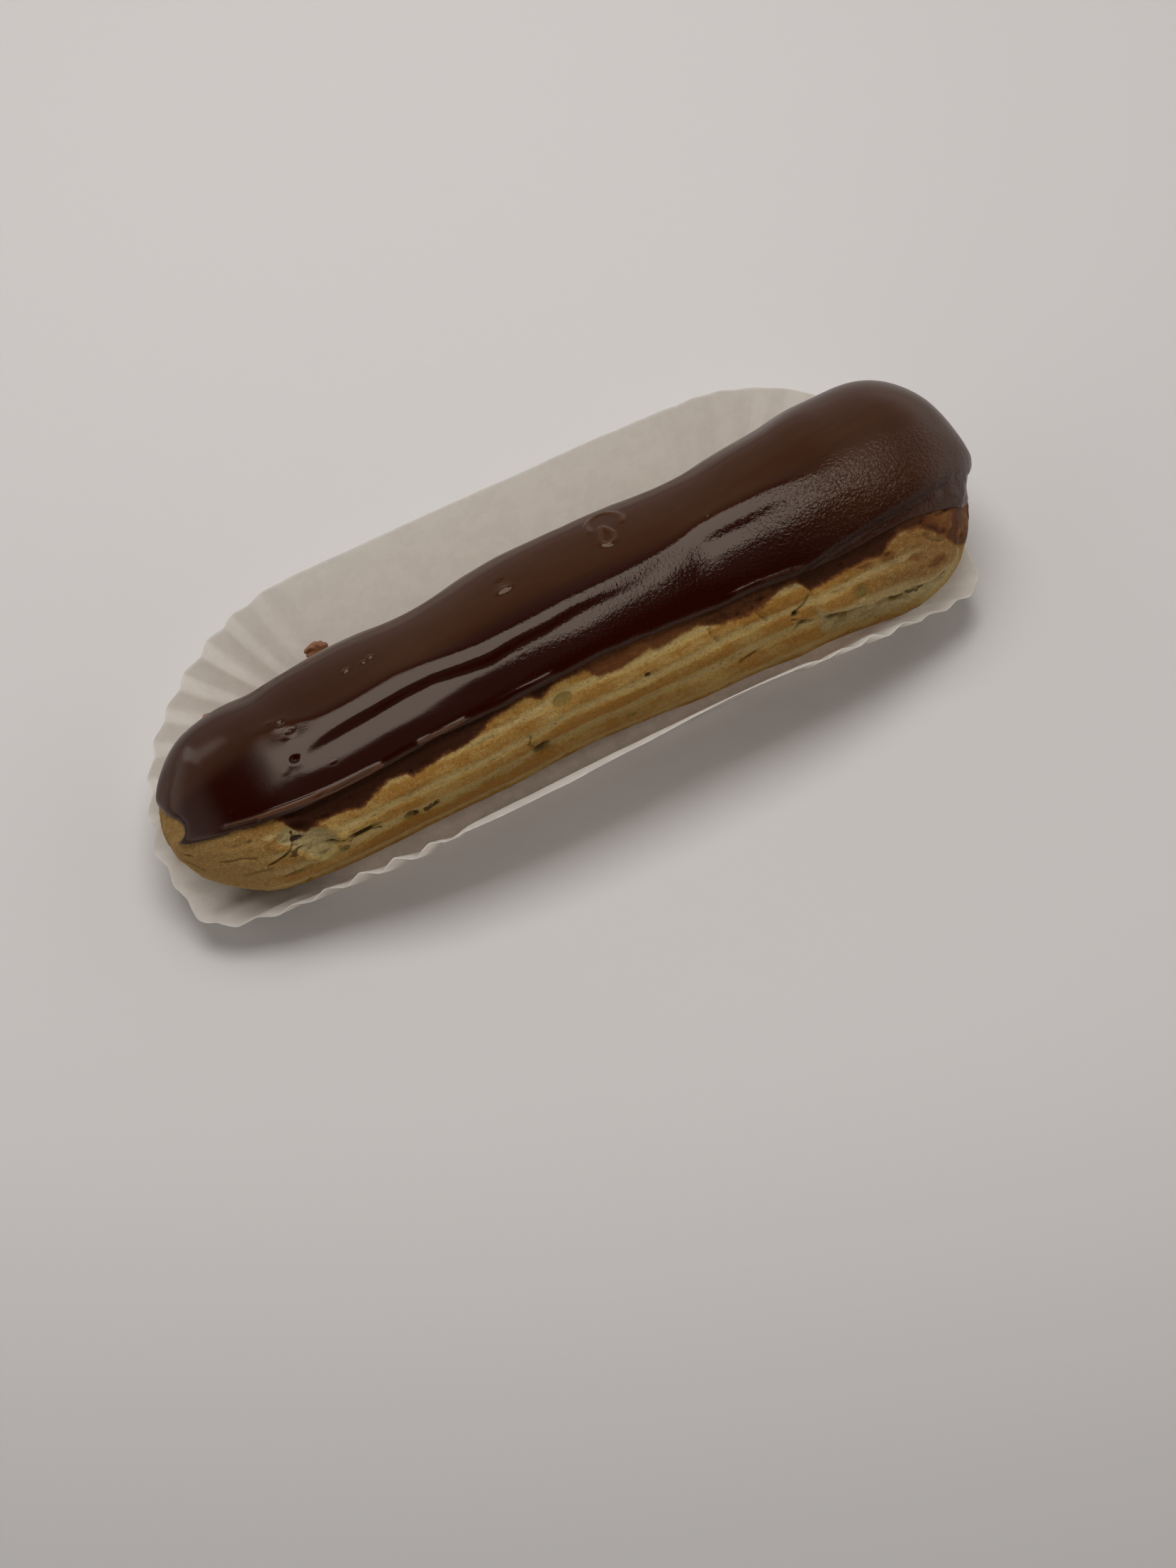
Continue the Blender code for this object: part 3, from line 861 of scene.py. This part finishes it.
# %% The icing's columns
turn = np.radians(np.linspace(165, 0, BEAD_COLUMNS))
bead_in = BEAD * (1 - np.sin(turn))
bead_high = (1 + np.cos(turn)) / 2
room = (far_lip - near_lip) * degree
bead_size = np.minimum(1, room / (5 * BEAD))[:, None]
near_in = bead_in * bead_size
top_columns = ICING_COLUMNS - 2 * BEAD_COLUMNS - UNDER_COLUMNS
spread = np.linspace(0, 1, top_columns + 2)[1:-1]
spread = spread - 0.11 * np.sin(2 * pi * spread) / pi + 0.04 * np.sin(pi * spread) ** 2 * (spread - 1)
across = near_in[:, -1:] + (room[:, None] - 2 * near_in[:, -1:]) * spread
inward = np.concatenate([near_in, across, room[:, None] - near_in[:, ::-1]], axis=1)
cover = np.concatenate([bead_high, np.ones(top_columns), bead_high[::-1]])
under = np.linspace(0, 1, UNDER_COLUMNS + 2)[1:-1]
icing_angle = near_lip[:, None] + inward / degree[:, None]
under_from = icing_angle[:, -1:] - 4
under_angle = under_from + (icing_angle[:, :1] + 360 - under_from) * under
ICING_ANGLE = np.concatenate([icing_angle, under_angle], axis=1)
COVER = np.tile(np.concatenate([cover, np.zeros(UNDER_COLUMNS)]), (len(icing_x), 1))
ICING = skin(icing_x, ICING_ANGLE)
U = ICING[:, :, 0]
V = ICING_ANGLE
print("icing grid:", U.shape, "top columns:", top_columns)

# %% How thick it lies, with its terraces, dents and pimples
CREST_LINE = (
    # x, angle of the soft crease behind which the icing falls away to the far side
    (-60, 104), (-54, 103.5), (-51, 102.5), (-47, 97.5), (-44, 95.8), (-38, 95.5), (-31.5, 96.2),
    (-27, 94.6), (-22, 91.5), (-17, 88.2), (-11, 86.7), (-5, 86.8), (2, 87.8), (8, 89), (13, 90.2),
    (17, 91.6), (21, 94), (24, 97), (28, 97.8), (33, 96.4), (38, 94.6), (42, 92), (46, 88), (50, 86),
)
VALLEY_LINE = (
    # x, angle of the dark step below the crease
    (-60, 82), (-50, 82), (-46.5, 83), (-43, 83.6), (-38, 84), (-32, 85), (-27, 84.6), (-22, 81.5),
    (-17, 79), (-12, 79.6), (-6, 79), (-1, 80.3), (4, 81), (10, 82.6), (15, 85), (22, 88), (26, 88.2),
    (31, 87), (36, 86.4), (50, 86),
)
VALLEY_DEPTH = (
    # x, how deep the step is there, in mm
    (-74, 0), (-52.5, 0), (-50, 0.28), (-46, 0.5), (-40, 0.6), (-20, 0.56), (-10, 0.45), (0, 0.40),
    (6, 0.32), (12, 0.18), (16, 0), (20, 0), (24, 0.3), (30, 0.38), (36, 0.36), (41, 0), (74, 0),
)
LOWER_LINE = (
    # x, angle where the icing turns down towards the near side
    (-60, 72), (-50, 69.4), (-46.5, 69), (-43, 70.2), (-38.6, 70.2), (-32.4, 71.4), (-27, 73.4),
    (-22, 75.4), (-17, 74.2), (-12, 72.2), (-6.5, 70.2), (-1.4, 70.2), (4, 73.4), (9.5, 76.6), (15, 79),
    (20.4, 81), (26, 79.4), (31, 77), (36, 75.4), (40, 71.8), (50, 68),
)
LOWER_SLOPE = (
    # x, how steeply it turns down there
    (-74, 0), (-50, 0.02), (-34, 0.03), (-27, 0.10), (-22, 0.12), (-17, 0.10), (-12, 0.06), (-6, 0.045),
    (-1, 0.06), (4, 0.10), (9, 0.135), (15, 0.17), (20, 0.21), (26, 0.20), (31, 0.13), (36, 0.05), (50, 0),
    (74, 0),
)
PIMPLES = (
    # x, angle, half length, half height, height
    (-51.4, 102.7, 0.45, 0.42, -0.50),
    (-50.7, 96.0, 0.38, 0.32, -0.34),
    (-52.2, 80.2, 0.62, 0.48, -0.55),
    (-53.0, 106.5, 0.6, 0.4, 0.16),
    (-37.9, 114.3, 0.44, 0.38, 0.50),
    (-34.7, 113.5, 0.38, 0.34, 0.40),
    (-33.4, 114.7, 0.38, 0.34, 0.45),
    (-8.7, 111.5, 1.25, 0.55, 0.42),
    (-8.6, 117.5, 0.8, 0.5, -0.25),
    (-47.0, 70.0, 0.25, 0.25, 0.12),
    (-12.0, 75.0, 0.22, 0.22, -0.14),
    (27.0, 99.5, 0.3, 0.25, 0.18),
    (46.0, 71.0, 0.3, 0.3, 0.14),
    (-64.0, 70.0, 0.3, 0.3, 0.10),
)
CREASE = 0.22
RING = ((8.8, 123), (9.0, 128), (10.4, 133), (12.0, 135), (13.6, 134), (14.8, 129), (15.0, 124), (14.6, 121))
DROP = ((11.0, 122.5), (10.3, 118.5), (9.5, 114.5), (9.4, 111.4), (10.4, 109.4), (11.5, 111.0), (12.0, 114.6))
DROP += ((11.7, 118.5), (11.2, 122))
FOLD = ((-54.4, 76), (-53.3, 80), (-52.6, 85), (-52.0, 91))


def smoothed(points):
    """The same line with six places between each two of its points, on a smooth curve."""
    line = np.array(points, float)
    place = np.linspace(0, len(line) - 1, 6 * (len(line) - 1) + 1)
    first = np.minimum(place.astype(int), len(line) - 2)
    weights = four_weights(place - first)
    return sum(line[np.clip(first + i - 1, 0, len(line) - 1)] * weights[i][:, None] for i in range(4))


thick = ICING_THICKNESS + 0.16 * noise(ICING, (24, 7, 7), 53) + 0.05 * noise(ICING, (9, 3.2, 3.2), 54)
below = (table_line(VALLEY_LINE, icing_x)[:, None] - V) * MM_PER_DEGREE + 0.15 * noise(ICING, (11, 3, 3), 55)
stepped = table_line(VALLEY_DEPTH, icing_x)[:, None]
half_step = 1.15 + 0.3 * ease(-U, 34, 44)
thick += stepped * (0.5 - ease(below / half_step, -1, 1)) * bell(below, 5.5)
behind = (V - table_line(CREST_LINE, icing_x)[:, None]) * MM_PER_DEGREE
fall = CREASE * np.logaddexp(0, behind / CREASE)
crease = 0.10 * bell(behind - 0.2, 1.4) - 0.10 * 5 * (1 - np.exp(-fall / 5))
thick += crease * ease(U, -60, -52) * ease(52 - U, 0, 8)
thick += 0.8 * ease(U, -64.5, -54) - 0.3 - 0.35 * ease(-U, 64, 71) - 0.2 * ease(U, 62, 70)
turned = (table_line(LOWER_LINE, icing_x)[:, None] - V) * MM_PER_DEGREE
turned = 0.45 * np.logaddexp(0, turned / 0.45)
thick -= table_line(LOWER_SLOPE, icing_x)[:, None] * 4 * (1 - np.exp(-turned / 4))
for place_x, place_angle, half_length, half_height, depth in PIMPLES:
    thick += depth * blob(U, V, (place_x, place_angle), (half_length, half_height))
    thick += -0.25 * depth * blob(U, V, (place_x, place_angle), (half_length * 2.4, half_height * 2.4))
ring = stroke(U, V, smoothed(RING), 0.36)
drop = stroke(U, V, smoothed(DROP), 0.32)
thick += 0.26 * ring + 0.34 * drop - 0.12 * blob(U, V, (11.6, 127), (3.0, 1.4))
thick += 0.05 * stroke(U, V, smoothed(FOLD), 0.5)
peel = (0.45 * ease(U, -36, 0) + 0.65 * ease(U, 24, 46)) * ease(105 - V, 0, 20)
thick += ease(U, 30, 46) * ease(100 - V, 0, 25) * 0.02 * noise(ICING, (1.2, 0.8, 0.8), 56)
print("icing from", thick[:, BEAD_COLUMNS:-40].min().round(2), "to", thick.max().round(2), "mm")

# %% Ridges of dried skin along the lip
SKIN_RIDGES = (
    ((-66.0, 62.5), (-62, 60), (-55, 58), (-47, 56.8), (-42.5, 56.6)),
    ((-61.0, 58.5), (-55, 56), (-49, 54.6), (-43, 54.2), (-40.3, 55.4)),
    ((-42.5, 56.6), (-40.6, 56.2), (-40.3, 55.4)),
    ((-33.6, 57.0), (-29.0, 56.7), (-25.2, 56.9)),
)
dried = np.zeros(U.shape)
for points in SKIN_RIDGES:
    dried = np.maximum(dried, stroke(U, V, points, 0.34))
thick += 0.34 * dried
lip_height = (V - near_lip[:, None]) * degree[:, None]
lip_ridge = bell(lip_height - 1.35, 0.38) * ease(V, 100, 90)
glints = ease(noise(ICING * (1, 0, 0), 5.5, 58), -0.35, 0.35) * ease(U, -22, -12) * ease(58 - U, 0, 8)
thick += 0.15 * lip_ridge * glints
thick_line = table_line(THICK_LINE, icing_x)[:, None]
rounded = ease(U, 58, 68)
thin = ease(thick_line - V, -1.5, 4.5) * (1 - 0.6 * rounded)
thin += 0.6 * rounded * ease(thick_line + 26 - V, 0, 30)
thin *= ease(U, 31, 38)
far_thin = ease((V - 360 + thick_line + 150) * MM_PER_DEGREE, -0.5, 1.6) * ease(U, 60, 66)
thin = np.maximum(thin, np.where(V > 90, far_thin, 0))
thick = thick * (1 - thin) + (THIN_ICING + 0.22 * noise(ICING, (2.2, 1.4, 1.4), 59)) * thin
start_x = np.interp(V, *np.array(START_LINE).T)
start_walk = icing_walk[:, None] - np.interp(start_x, icing_x, icing_walk) - 0.3 * noise(ICING, 3.5, 60)
opened = np.sqrt(1 - (1 - np.clip(start_walk / (BEAD * 1.1), 0, 1)) ** 2)
over = thick * COVER * opened
over = np.where(COVER > 0, over, ICING_INSET)
over = np.where(start_walk < 0, np.maximum(start_walk * 1.6, ICING_INSET), over)
print("dried skin on", int((dried > 0.5).sum()), "points")

# %% The icing's mesh
icing_grid = ICING + over[:, :, None] * skin_normals(icing_x, ICING_ANGLE)
dull_front = np.maximum(ease(U, 42, 54), ease(U, 20, 42) * ease(80 - V, 0, 14))
# Lighter brown on the top and far side, and low on the fat end's near side: partly a dull bloom of fat,
# partly a painted sheen for the light that the icing catches there.
top_bloom_and_sheen = ease(V, 90, 103) * (1 - 0.35 * ease(-U, 25, 50))
ICING_MASKS = {
    # on the lip's ridge the dried-skin colour is laid where it glints: a painted highlight on a real ridge
    "dried": np.maximum(dried, 0.55 * lip_ridge * glints),
    "thin": thin,
    "peel": peel,
    "dull": dull_front + 0.14 * ease(-U, 54, 60) + 0.9 * blob(U, V, (-57.0, 84), (3.6, 7.0)),
    "ring": np.maximum(ring, drop),
    "edge": ease(1.3 - lip_height, 0, 0.9) * ease(V, 110, 95),
    "bloom": np.maximum(top_bloom_and_sheen, 0.8 * ease(U, 32, 52) * ease(V, 50, 72)),
}
icing = sphere_from_grid("chocolate_glaze", icing_grid, ICING_MASKS)
report(icing)
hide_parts("chocolate_icing")
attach(icing, "root")

# %% The icing's finish
ICING_BROWN = (0.0180, 0.0018, 0.0006)
ICING_BLOOM_AND_SHEEN = (0.0475, 0.0152, 0.0050)
DRIED_BROWN = (0.115, 0.050, 0.026)
THIN_BROWN = (0.042, 0.0150, 0.0085)

glaze = Finish("set_icing")
streaks = glaze.noise(1.2, 3.0, 0.6, stretch=(6, 1, 1))
film = glaze.noise(9, 2.0, 0.5, stretch=(2, 1, 1))
grit = glaze.noise(0.22, 2.0, 0.6)
peel_mask = glaze.painted("peel")
wrinkles = glaze.noise(0.55, 2.0, 0.5, distortion=0.5)
# dried skin on the ridges, and a painted highlight where the lip's ridge glints
dried_skin_and_glint_mask = glaze.step(glaze.painted("dried") + (streaks - 0.5) * 0.5, 0.35, 0.8)
colour = glaze.coats(
    ICING_BROWN,
    # painted sheen with bloom: a lighter brown over the top and over the fat end's lower near side
    (glaze.painted("bloom") * (0.85 + (streaks - 0.5) * 0.5), ICING_BLOOM_AND_SHEEN),
    (glaze.painted("thin") * (0.45 + film * 0.6), THIN_BROWN),
    (glaze.painted("edge") * 0.55, THIN_BROWN),
    (glaze.painted("ring") * 0.3, DRIED_BROWN),
    (dried_skin_and_glint_mask * 0.8, DRIED_BROWN),
)
shine = 0.075 + glaze.painted("dull") * 0.20 + dried_skin_and_glint_mask * 0.2 + film * 0.04
glaze.finish(Base_Color=colour, Roughness=shine, Specular_IOR_Level=0.22, Specular_Tint=(1.0, 0.85, 0.69))
glaze.relief(grit * 0.12 + streaks * 0.08 + wrinkles * (0.10 + peel_mask * peel_mask * 2.6), 0.06)
glaze.put_on(icing)
print("icing nodes:", len(glaze.tree.nodes))

# %% [markdown]
# ## The paper case
#
# A sheet of greaseproof paper pressed to shape: an oval floor, a wall that leans outwards, and flutes that
# take up the fullness where the wall turns. It is one sheet. A sphere primitive is opened at one pole and
# spread: its rings become rings of the floor and then rows of the wall, and every twelve of its segments
# fold into one flute. The fold at the floor and the rim run close to the solid's, through their own points.
#
# Thin paper lets light through, so the wall is half translucent, and cloudy where its fibres lie thicker.
# Light also spreads sideways inside real paper. Nothing here does that, so the strip of floor in front of
# the pastry has a faint glow of its own instead.

# %% The case's outline
CASE_WALL = (
    # fold x, y and the rim of the same fold line x, y, z: round the thin end the flutes fan out
    (36.5, 15.6, 36, 27.6, 18), (1, 15.6, 1.8, 28.1, 18), (-29, 15.6, -32.5, 28.3, 18),
    (-35.5, 15.8, -41.8, 28.1, 17.5), (-40.5, 15.6, -50.5, 26.2, 16), (-44.5, 14.4, -60.2, 21.3, 14),
    (-49, 11.8, -68.4, 13.9, 12.3), (-55.5, 6.5, -73.2, 5.2, 11), (-59.5, -1, -75.8, -4, 10),
    (-60, -7.5, -76.2, -10.5, 8.5), (-57.5, -13, -74.4, -17.4, 6.8), (-51, -16.9, -66, -21.5, 8.4),
    (-43, -18.5, -54, -23.9, 12), (-31, -19, -38, -26.3, 16), (-10, -19, -14, -27.2, 18.3),
    (12, -19.2, 8, -27.6, 19), (27, -19.4, 24, -27.8, 18.8), (39, -19.4, 41, -27.3, 16),
    (48, -17.9, 55, -26.6, 12), (53, -14.4, 66.5, -24.6, 8.8), (55, -7.4, 70.6, -17.5, 7.2),
    (55, 0.6, 72.5, -4.4, 6), (52, 7.6, 69, 9.6, 10.5), (46.5, 12, 60.5, 22, 12.6),
    (41.5, 14.6, 49.5, 27, 15.4),
)
FLUTE_DEPTHS = (
    # station along CASE_WALL, how far the folds stand in and out of the wall there, in mm
    (0, 0.15), (0.3, 0), (1.8, 0), (2.2, 0.15), (3, 0.6), (4, 0.9), (5, 1.0), (8, 0.95), (9, 0.8),
    (10, 0.65), (11, 0.5), (12, 0.6), (12.8, 0.8), (13.05, 0.5), (13.25, 0), (16.3, 0), (16.7, 0.3),
    (17.3, 0.5), (19, 0.4), (20, 0.35), (21, 0.5), (24, 0.5), (24.8, 0.35), (25, 0.15),
)
FLARE = (
    # station, how much further out the rim is turned there, in mm
    (0, 0), (12, 0), (13.4, 0.8), (14, 1.1), (14.5, 1.0), (15, 0.6), (15.5, 0.3), (16, 0.4), (16.5, 0.7),
    (17, 0.8), (19, 0.3), (20, 0), (25, 0),
)
STAND_OFF = (
    # station, how much further out the finger pushes the whole wall there, in mm
    (0, 0), (5.5, 0), (7, 0.7), (8, 0.95), (9, 0), (20.6, 0), (21.4, 0.8), (22, 1.35), (22.7, 0.7),
    (23.6, 0), (25, 0),
)
FLUTE_PITCH = 6.3
FLUTE_COLUMNS = 12
FLOOR_RINGS = 9
WALL_ROWS = 24
WALL_CURL = 0.35
FLOOR_MIDDLE = (-2.0, -1.7, 0.0)
FOLD_SHARPNESS = 0.985
PAPER = 0.14


def case_line(t):
    """Fold and rim of the case at stations t, on smooth closed curves through CASE_WALL."""
    points = np.array(CASE_WALL, float)
    start = np.floor(t).astype(int)
    line = 0
    for k, weight in enumerate(four_weights(t - start)):
        line = line + points[(start + k - 1) % len(points)] * weight[:, None]
    fold = np.column_stack([line[:, :2], np.zeros(len(t))])
    return fold, line[:, 2:]


fine_t = np.linspace(0, len(CASE_WALL), 6001)
rim = case_line(fine_t)[1]
rim_walk = np.concatenate([[0], np.cumsum(np.linalg.norm(np.diff(rim, axis=0), axis=1))])
flutes = round(rim_walk[-1] / FLUTE_PITCH)
columns = np.arange(flutes * FLUTE_COLUMNS)
station = np.interp(columns / len(columns) * rim_walk[-1], rim_walk, fine_t)
fold, rim = case_line(station)
print("rim, mm:", round(rim_walk[-1], 1), "flutes' places:", flutes)

# %% Floor rings, wall rows and flutes
turns = columns / FLUTE_COLUMNS
jitter = np.random.default_rng(8).uniform(-1, 1, flutes + 1)
wander = np.interp(turns, np.arange(flutes + 1), jitter)
phase = 2 * pi * (turns + 0.10 * wander)
zigzag = np.arcsin(FOLD_SHARPNESS * np.sin(phase)) / np.arcsin(FOLD_SHARPNESS)
depth = np.interp(station, *np.array(FLUTE_DEPTHS).T) * (1 + 0.3 * np.roll(wander, 5))
fluted = ease(depth, 0.0, 0.3)
ahead = np.roll(rim, -3, axis=0) - np.roll(rim, 3, axis=0)
across = np.cross(ahead, rim - fold)
across /= np.linalg.norm(across, axis=1, keepdims=True)
flare = np.interp(station, *np.array(FLARE).T)
stand_off = np.interp(station, *np.array(STAND_OFF).T)
outward = (rim - fold) * (1, 1, 0)
outward /= np.linalg.norm(outward, axis=1, keepdims=True)
middle = np.array(FLOOR_MIDDLE)
rows = [middle + (fold - middle) * k / FLOOR_RINGS for k in range(FLOOR_RINGS + 1)]
rises = np.append(np.linspace(0, 1, WALL_ROWS)[1:-1], (0.985, 1.0))
for rise in rises:
    row = fold + (rim - fold) * rise
    row[:, 2] = rim[:, 2] * rise ** (1 + WALL_CURL * fluted)
    formed = ease(rise, 0.0, 0.55) * (0.55 + 0.45 * rise)
    row += across * (zigzag * depth * formed)[:, None]
    row += outward * (flare * max(rise - 0.55, 0) ** 2 / 0.2 + stand_off * ease(rise, 0, 0.35))[:, None]
    uneven = 0.35 * noise(row, 22, 71) * (1 - 0.5 * fluted) + 0.10 * noise(row, 4.5, 72)
    row += across * uneven[:, None] * rise
    rows.append(row)
rows.append(rows[-1])
sheet_grid = np.array(rows)
lift = 0.10 + 0.10 * noise(sheet_grid, (9, 9, 9), 73)
sheet_grid[:, :, 2] = np.maximum(sheet_grid[:, :, 2], 0) + PAPER + np.clip(lift, 0, 0.2)
print("sheet of", sheet_grid.shape[:2], "points")

# %% Open the sphere and give the sheet its thickness
case = sphere_from_grid("paper_cup", sheet_grid, {})
bpy.ops.object.mode_set(mode="EDIT")
bpy.ops.mesh.select_mode(type="VERT")
bpy.ops.mesh.select_all(action="DESELECT")
bpy.ops.object.mode_set(mode="OBJECT")
fans = np.zeros(len(case.data.vertices), int)
ends = np.empty(len(case.data.edges) * 2, int)
case.data.edges.foreach_get("vertices", ends)
np.add.at(fans, ends, 1)
poles = np.nonzero(fans > 8)[0]
heights = [case.data.vertices[int(k)].co.z for k in poles]
case.data.vertices[int(poles[int(np.argmax(heights))])].select = True
bpy.ops.object.mode_set(mode="EDIT")
bpy.ops.mesh.delete(type="VERT")
bpy.ops.object.mode_set(mode="OBJECT")
thickness = case.modifiers.new("thickness", "SOLIDIFY")
thickness.thickness = PAPER * MM
thickness.offset = -1
bpy.ops.object.modifier_apply(modifier=thickness.name)
report(case)
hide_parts("paper_case")
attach(case, "root")

# %% The paper's finish
SPOTS = (
    # x, y, z, half size in mm, colour
    (52.3, 25.0, 14.6, 1.3, (0.33, 0.19, 0.115)),
    (-10.5, 27.2, 15.4, 0.75, (0.36, 0.24, 0.18)),
)
PAPER_WHITE = (0.88, 0.86, 0.82)
PAPER_THIN = (0.74, 0.715, 0.675)
PAPER_PASSED_ON = (0.080, 0.062, 0.050)

paper = Finish("greaseproof_paper")
cloudy = paper.noise(3.2, 5.0, 0.68)
fibres = paper.noise(0.5, 3.0, 0.7, stretch=(3, 1, 1))
colour = paper.mix(paper.step(cloudy + (fibres - 0.5) * 0.3, 0.40, 0.60), PAPER_THIN, PAPER_WHITE)
for spot_x, spot_y, spot_z, half_size, spot_colour in SPOTS:
    spot = (spot_x * MM, spot_y * MM, spot_z * MM)
    apart = paper.node("ShaderNodeVectorMath", {"operation": "DISTANCE"}, {0: paper.place, 1: spot}, 1)
    inside = 1 - paper.step(apart / (half_size * MM) + (fibres - 0.5) * 0.9, 0.5, 1.1)
    colour = paper.mix(inside * 0.8, colour, spot_colour)
across, deep, up = paper.axes(paper.place)
strip = paper.step(deep * -1, 13 * MM, 18 * MM) * (1 - paper.step(up, 3 * MM, 9 * MM))
strip = strip * (1 - paper.step(across.math("ABSOLUTE"), 44 * MM, 66 * MM))
passed_on = paper.mix(strip, (0, 0, 0), PAPER_PASSED_ON)
paper.finish(
    Base_Color=colour,
    Roughness=0.5 + (cloudy - 0.5) * 0.2,
    IOR=1.45,
    Emission_Color=passed_on,
    Emission_Strength=1.0,
)
paper.relief(fibres * 0.4 + cloudy, 0.12)
glow = paper.node("ShaderNodeBsdfTranslucent", {}, {"Color": (0.92, 0.89, 0.85)}, 0)
off_table = paper.step(up, 1 * MM, 5 * MM)
mixed = paper.node("ShaderNodeMixShader", {}, {0: 0.05 + off_table * 0.70}, 0)
paper.tree.links.new(paper.shader.outputs[0], mixed.socket.node.inputs[1])
paper.tree.links.new(glow.socket, mixed.socket.node.inputs[2])
paper.tree.links.new(mixed.socket, paper.tree.nodes["Material Output"].inputs["Surface"])
paper.put_on(case)
print("paper nodes:", len(paper.tree.nodes))

# %% [markdown]
# ## Loose flakes
#
# A red-brown flake of crust is caught between the eclair and the wall behind it. It starts as an icosphere,
# is flattened, and is roughened with the same noise as the pastry. A smaller crumb lies at the thin end.

# %% The flakes
FLAKES = (
    # name, centre, half sizes, turn about Z in degrees
    ("crust_flake", (-36.9, 20.2, 7.2), (1.95, 0.9, 1.45), 8),
    ("crust_crumb", (-59.0, 15.4, 9.4), (1.3, 0.8, 0.7), 35),
)
flake_finish = Finish("toasted_flake")
toast = flake_finish.noise(0.6, 3.0, 0.6)
flake_finish.finish(Base_Color=flake_finish.mix(toast, (0.16, 0.05, 0.02), (0.33, 0.15, 0.07)), Roughness=0.6)
flake_finish.relief(toast, 0.1)
for flake_name, centre, half_sizes, turned in FLAKES:
    bpy.ops.object.select_all(action="DESELECT")
    bpy.ops.mesh.primitive_ico_sphere_add(subdivisions=5, radius=1)
    flake = bpy.context.object
    flake.name = flake_name
    unit = read_points(flake.data).astype(float)
    rough = 1 + 0.35 * noise(unit, 0.8, 81) + 0.18 * noise(unit, 0.35, 82)
    shape = unit * rough[:, None] * half_sizes
    spin = np.array(Matrix.Rotation(radians(turned), 3, "Z"))
    flake.data.vertices.foreach_set("co", ((shape @ spin.T + centre) * MM).ravel())
    flake.data.update()
    bpy.ops.object.shade_smooth()
    flake_finish.put_on(flake)
    report(flake)
    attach(flake, "root")
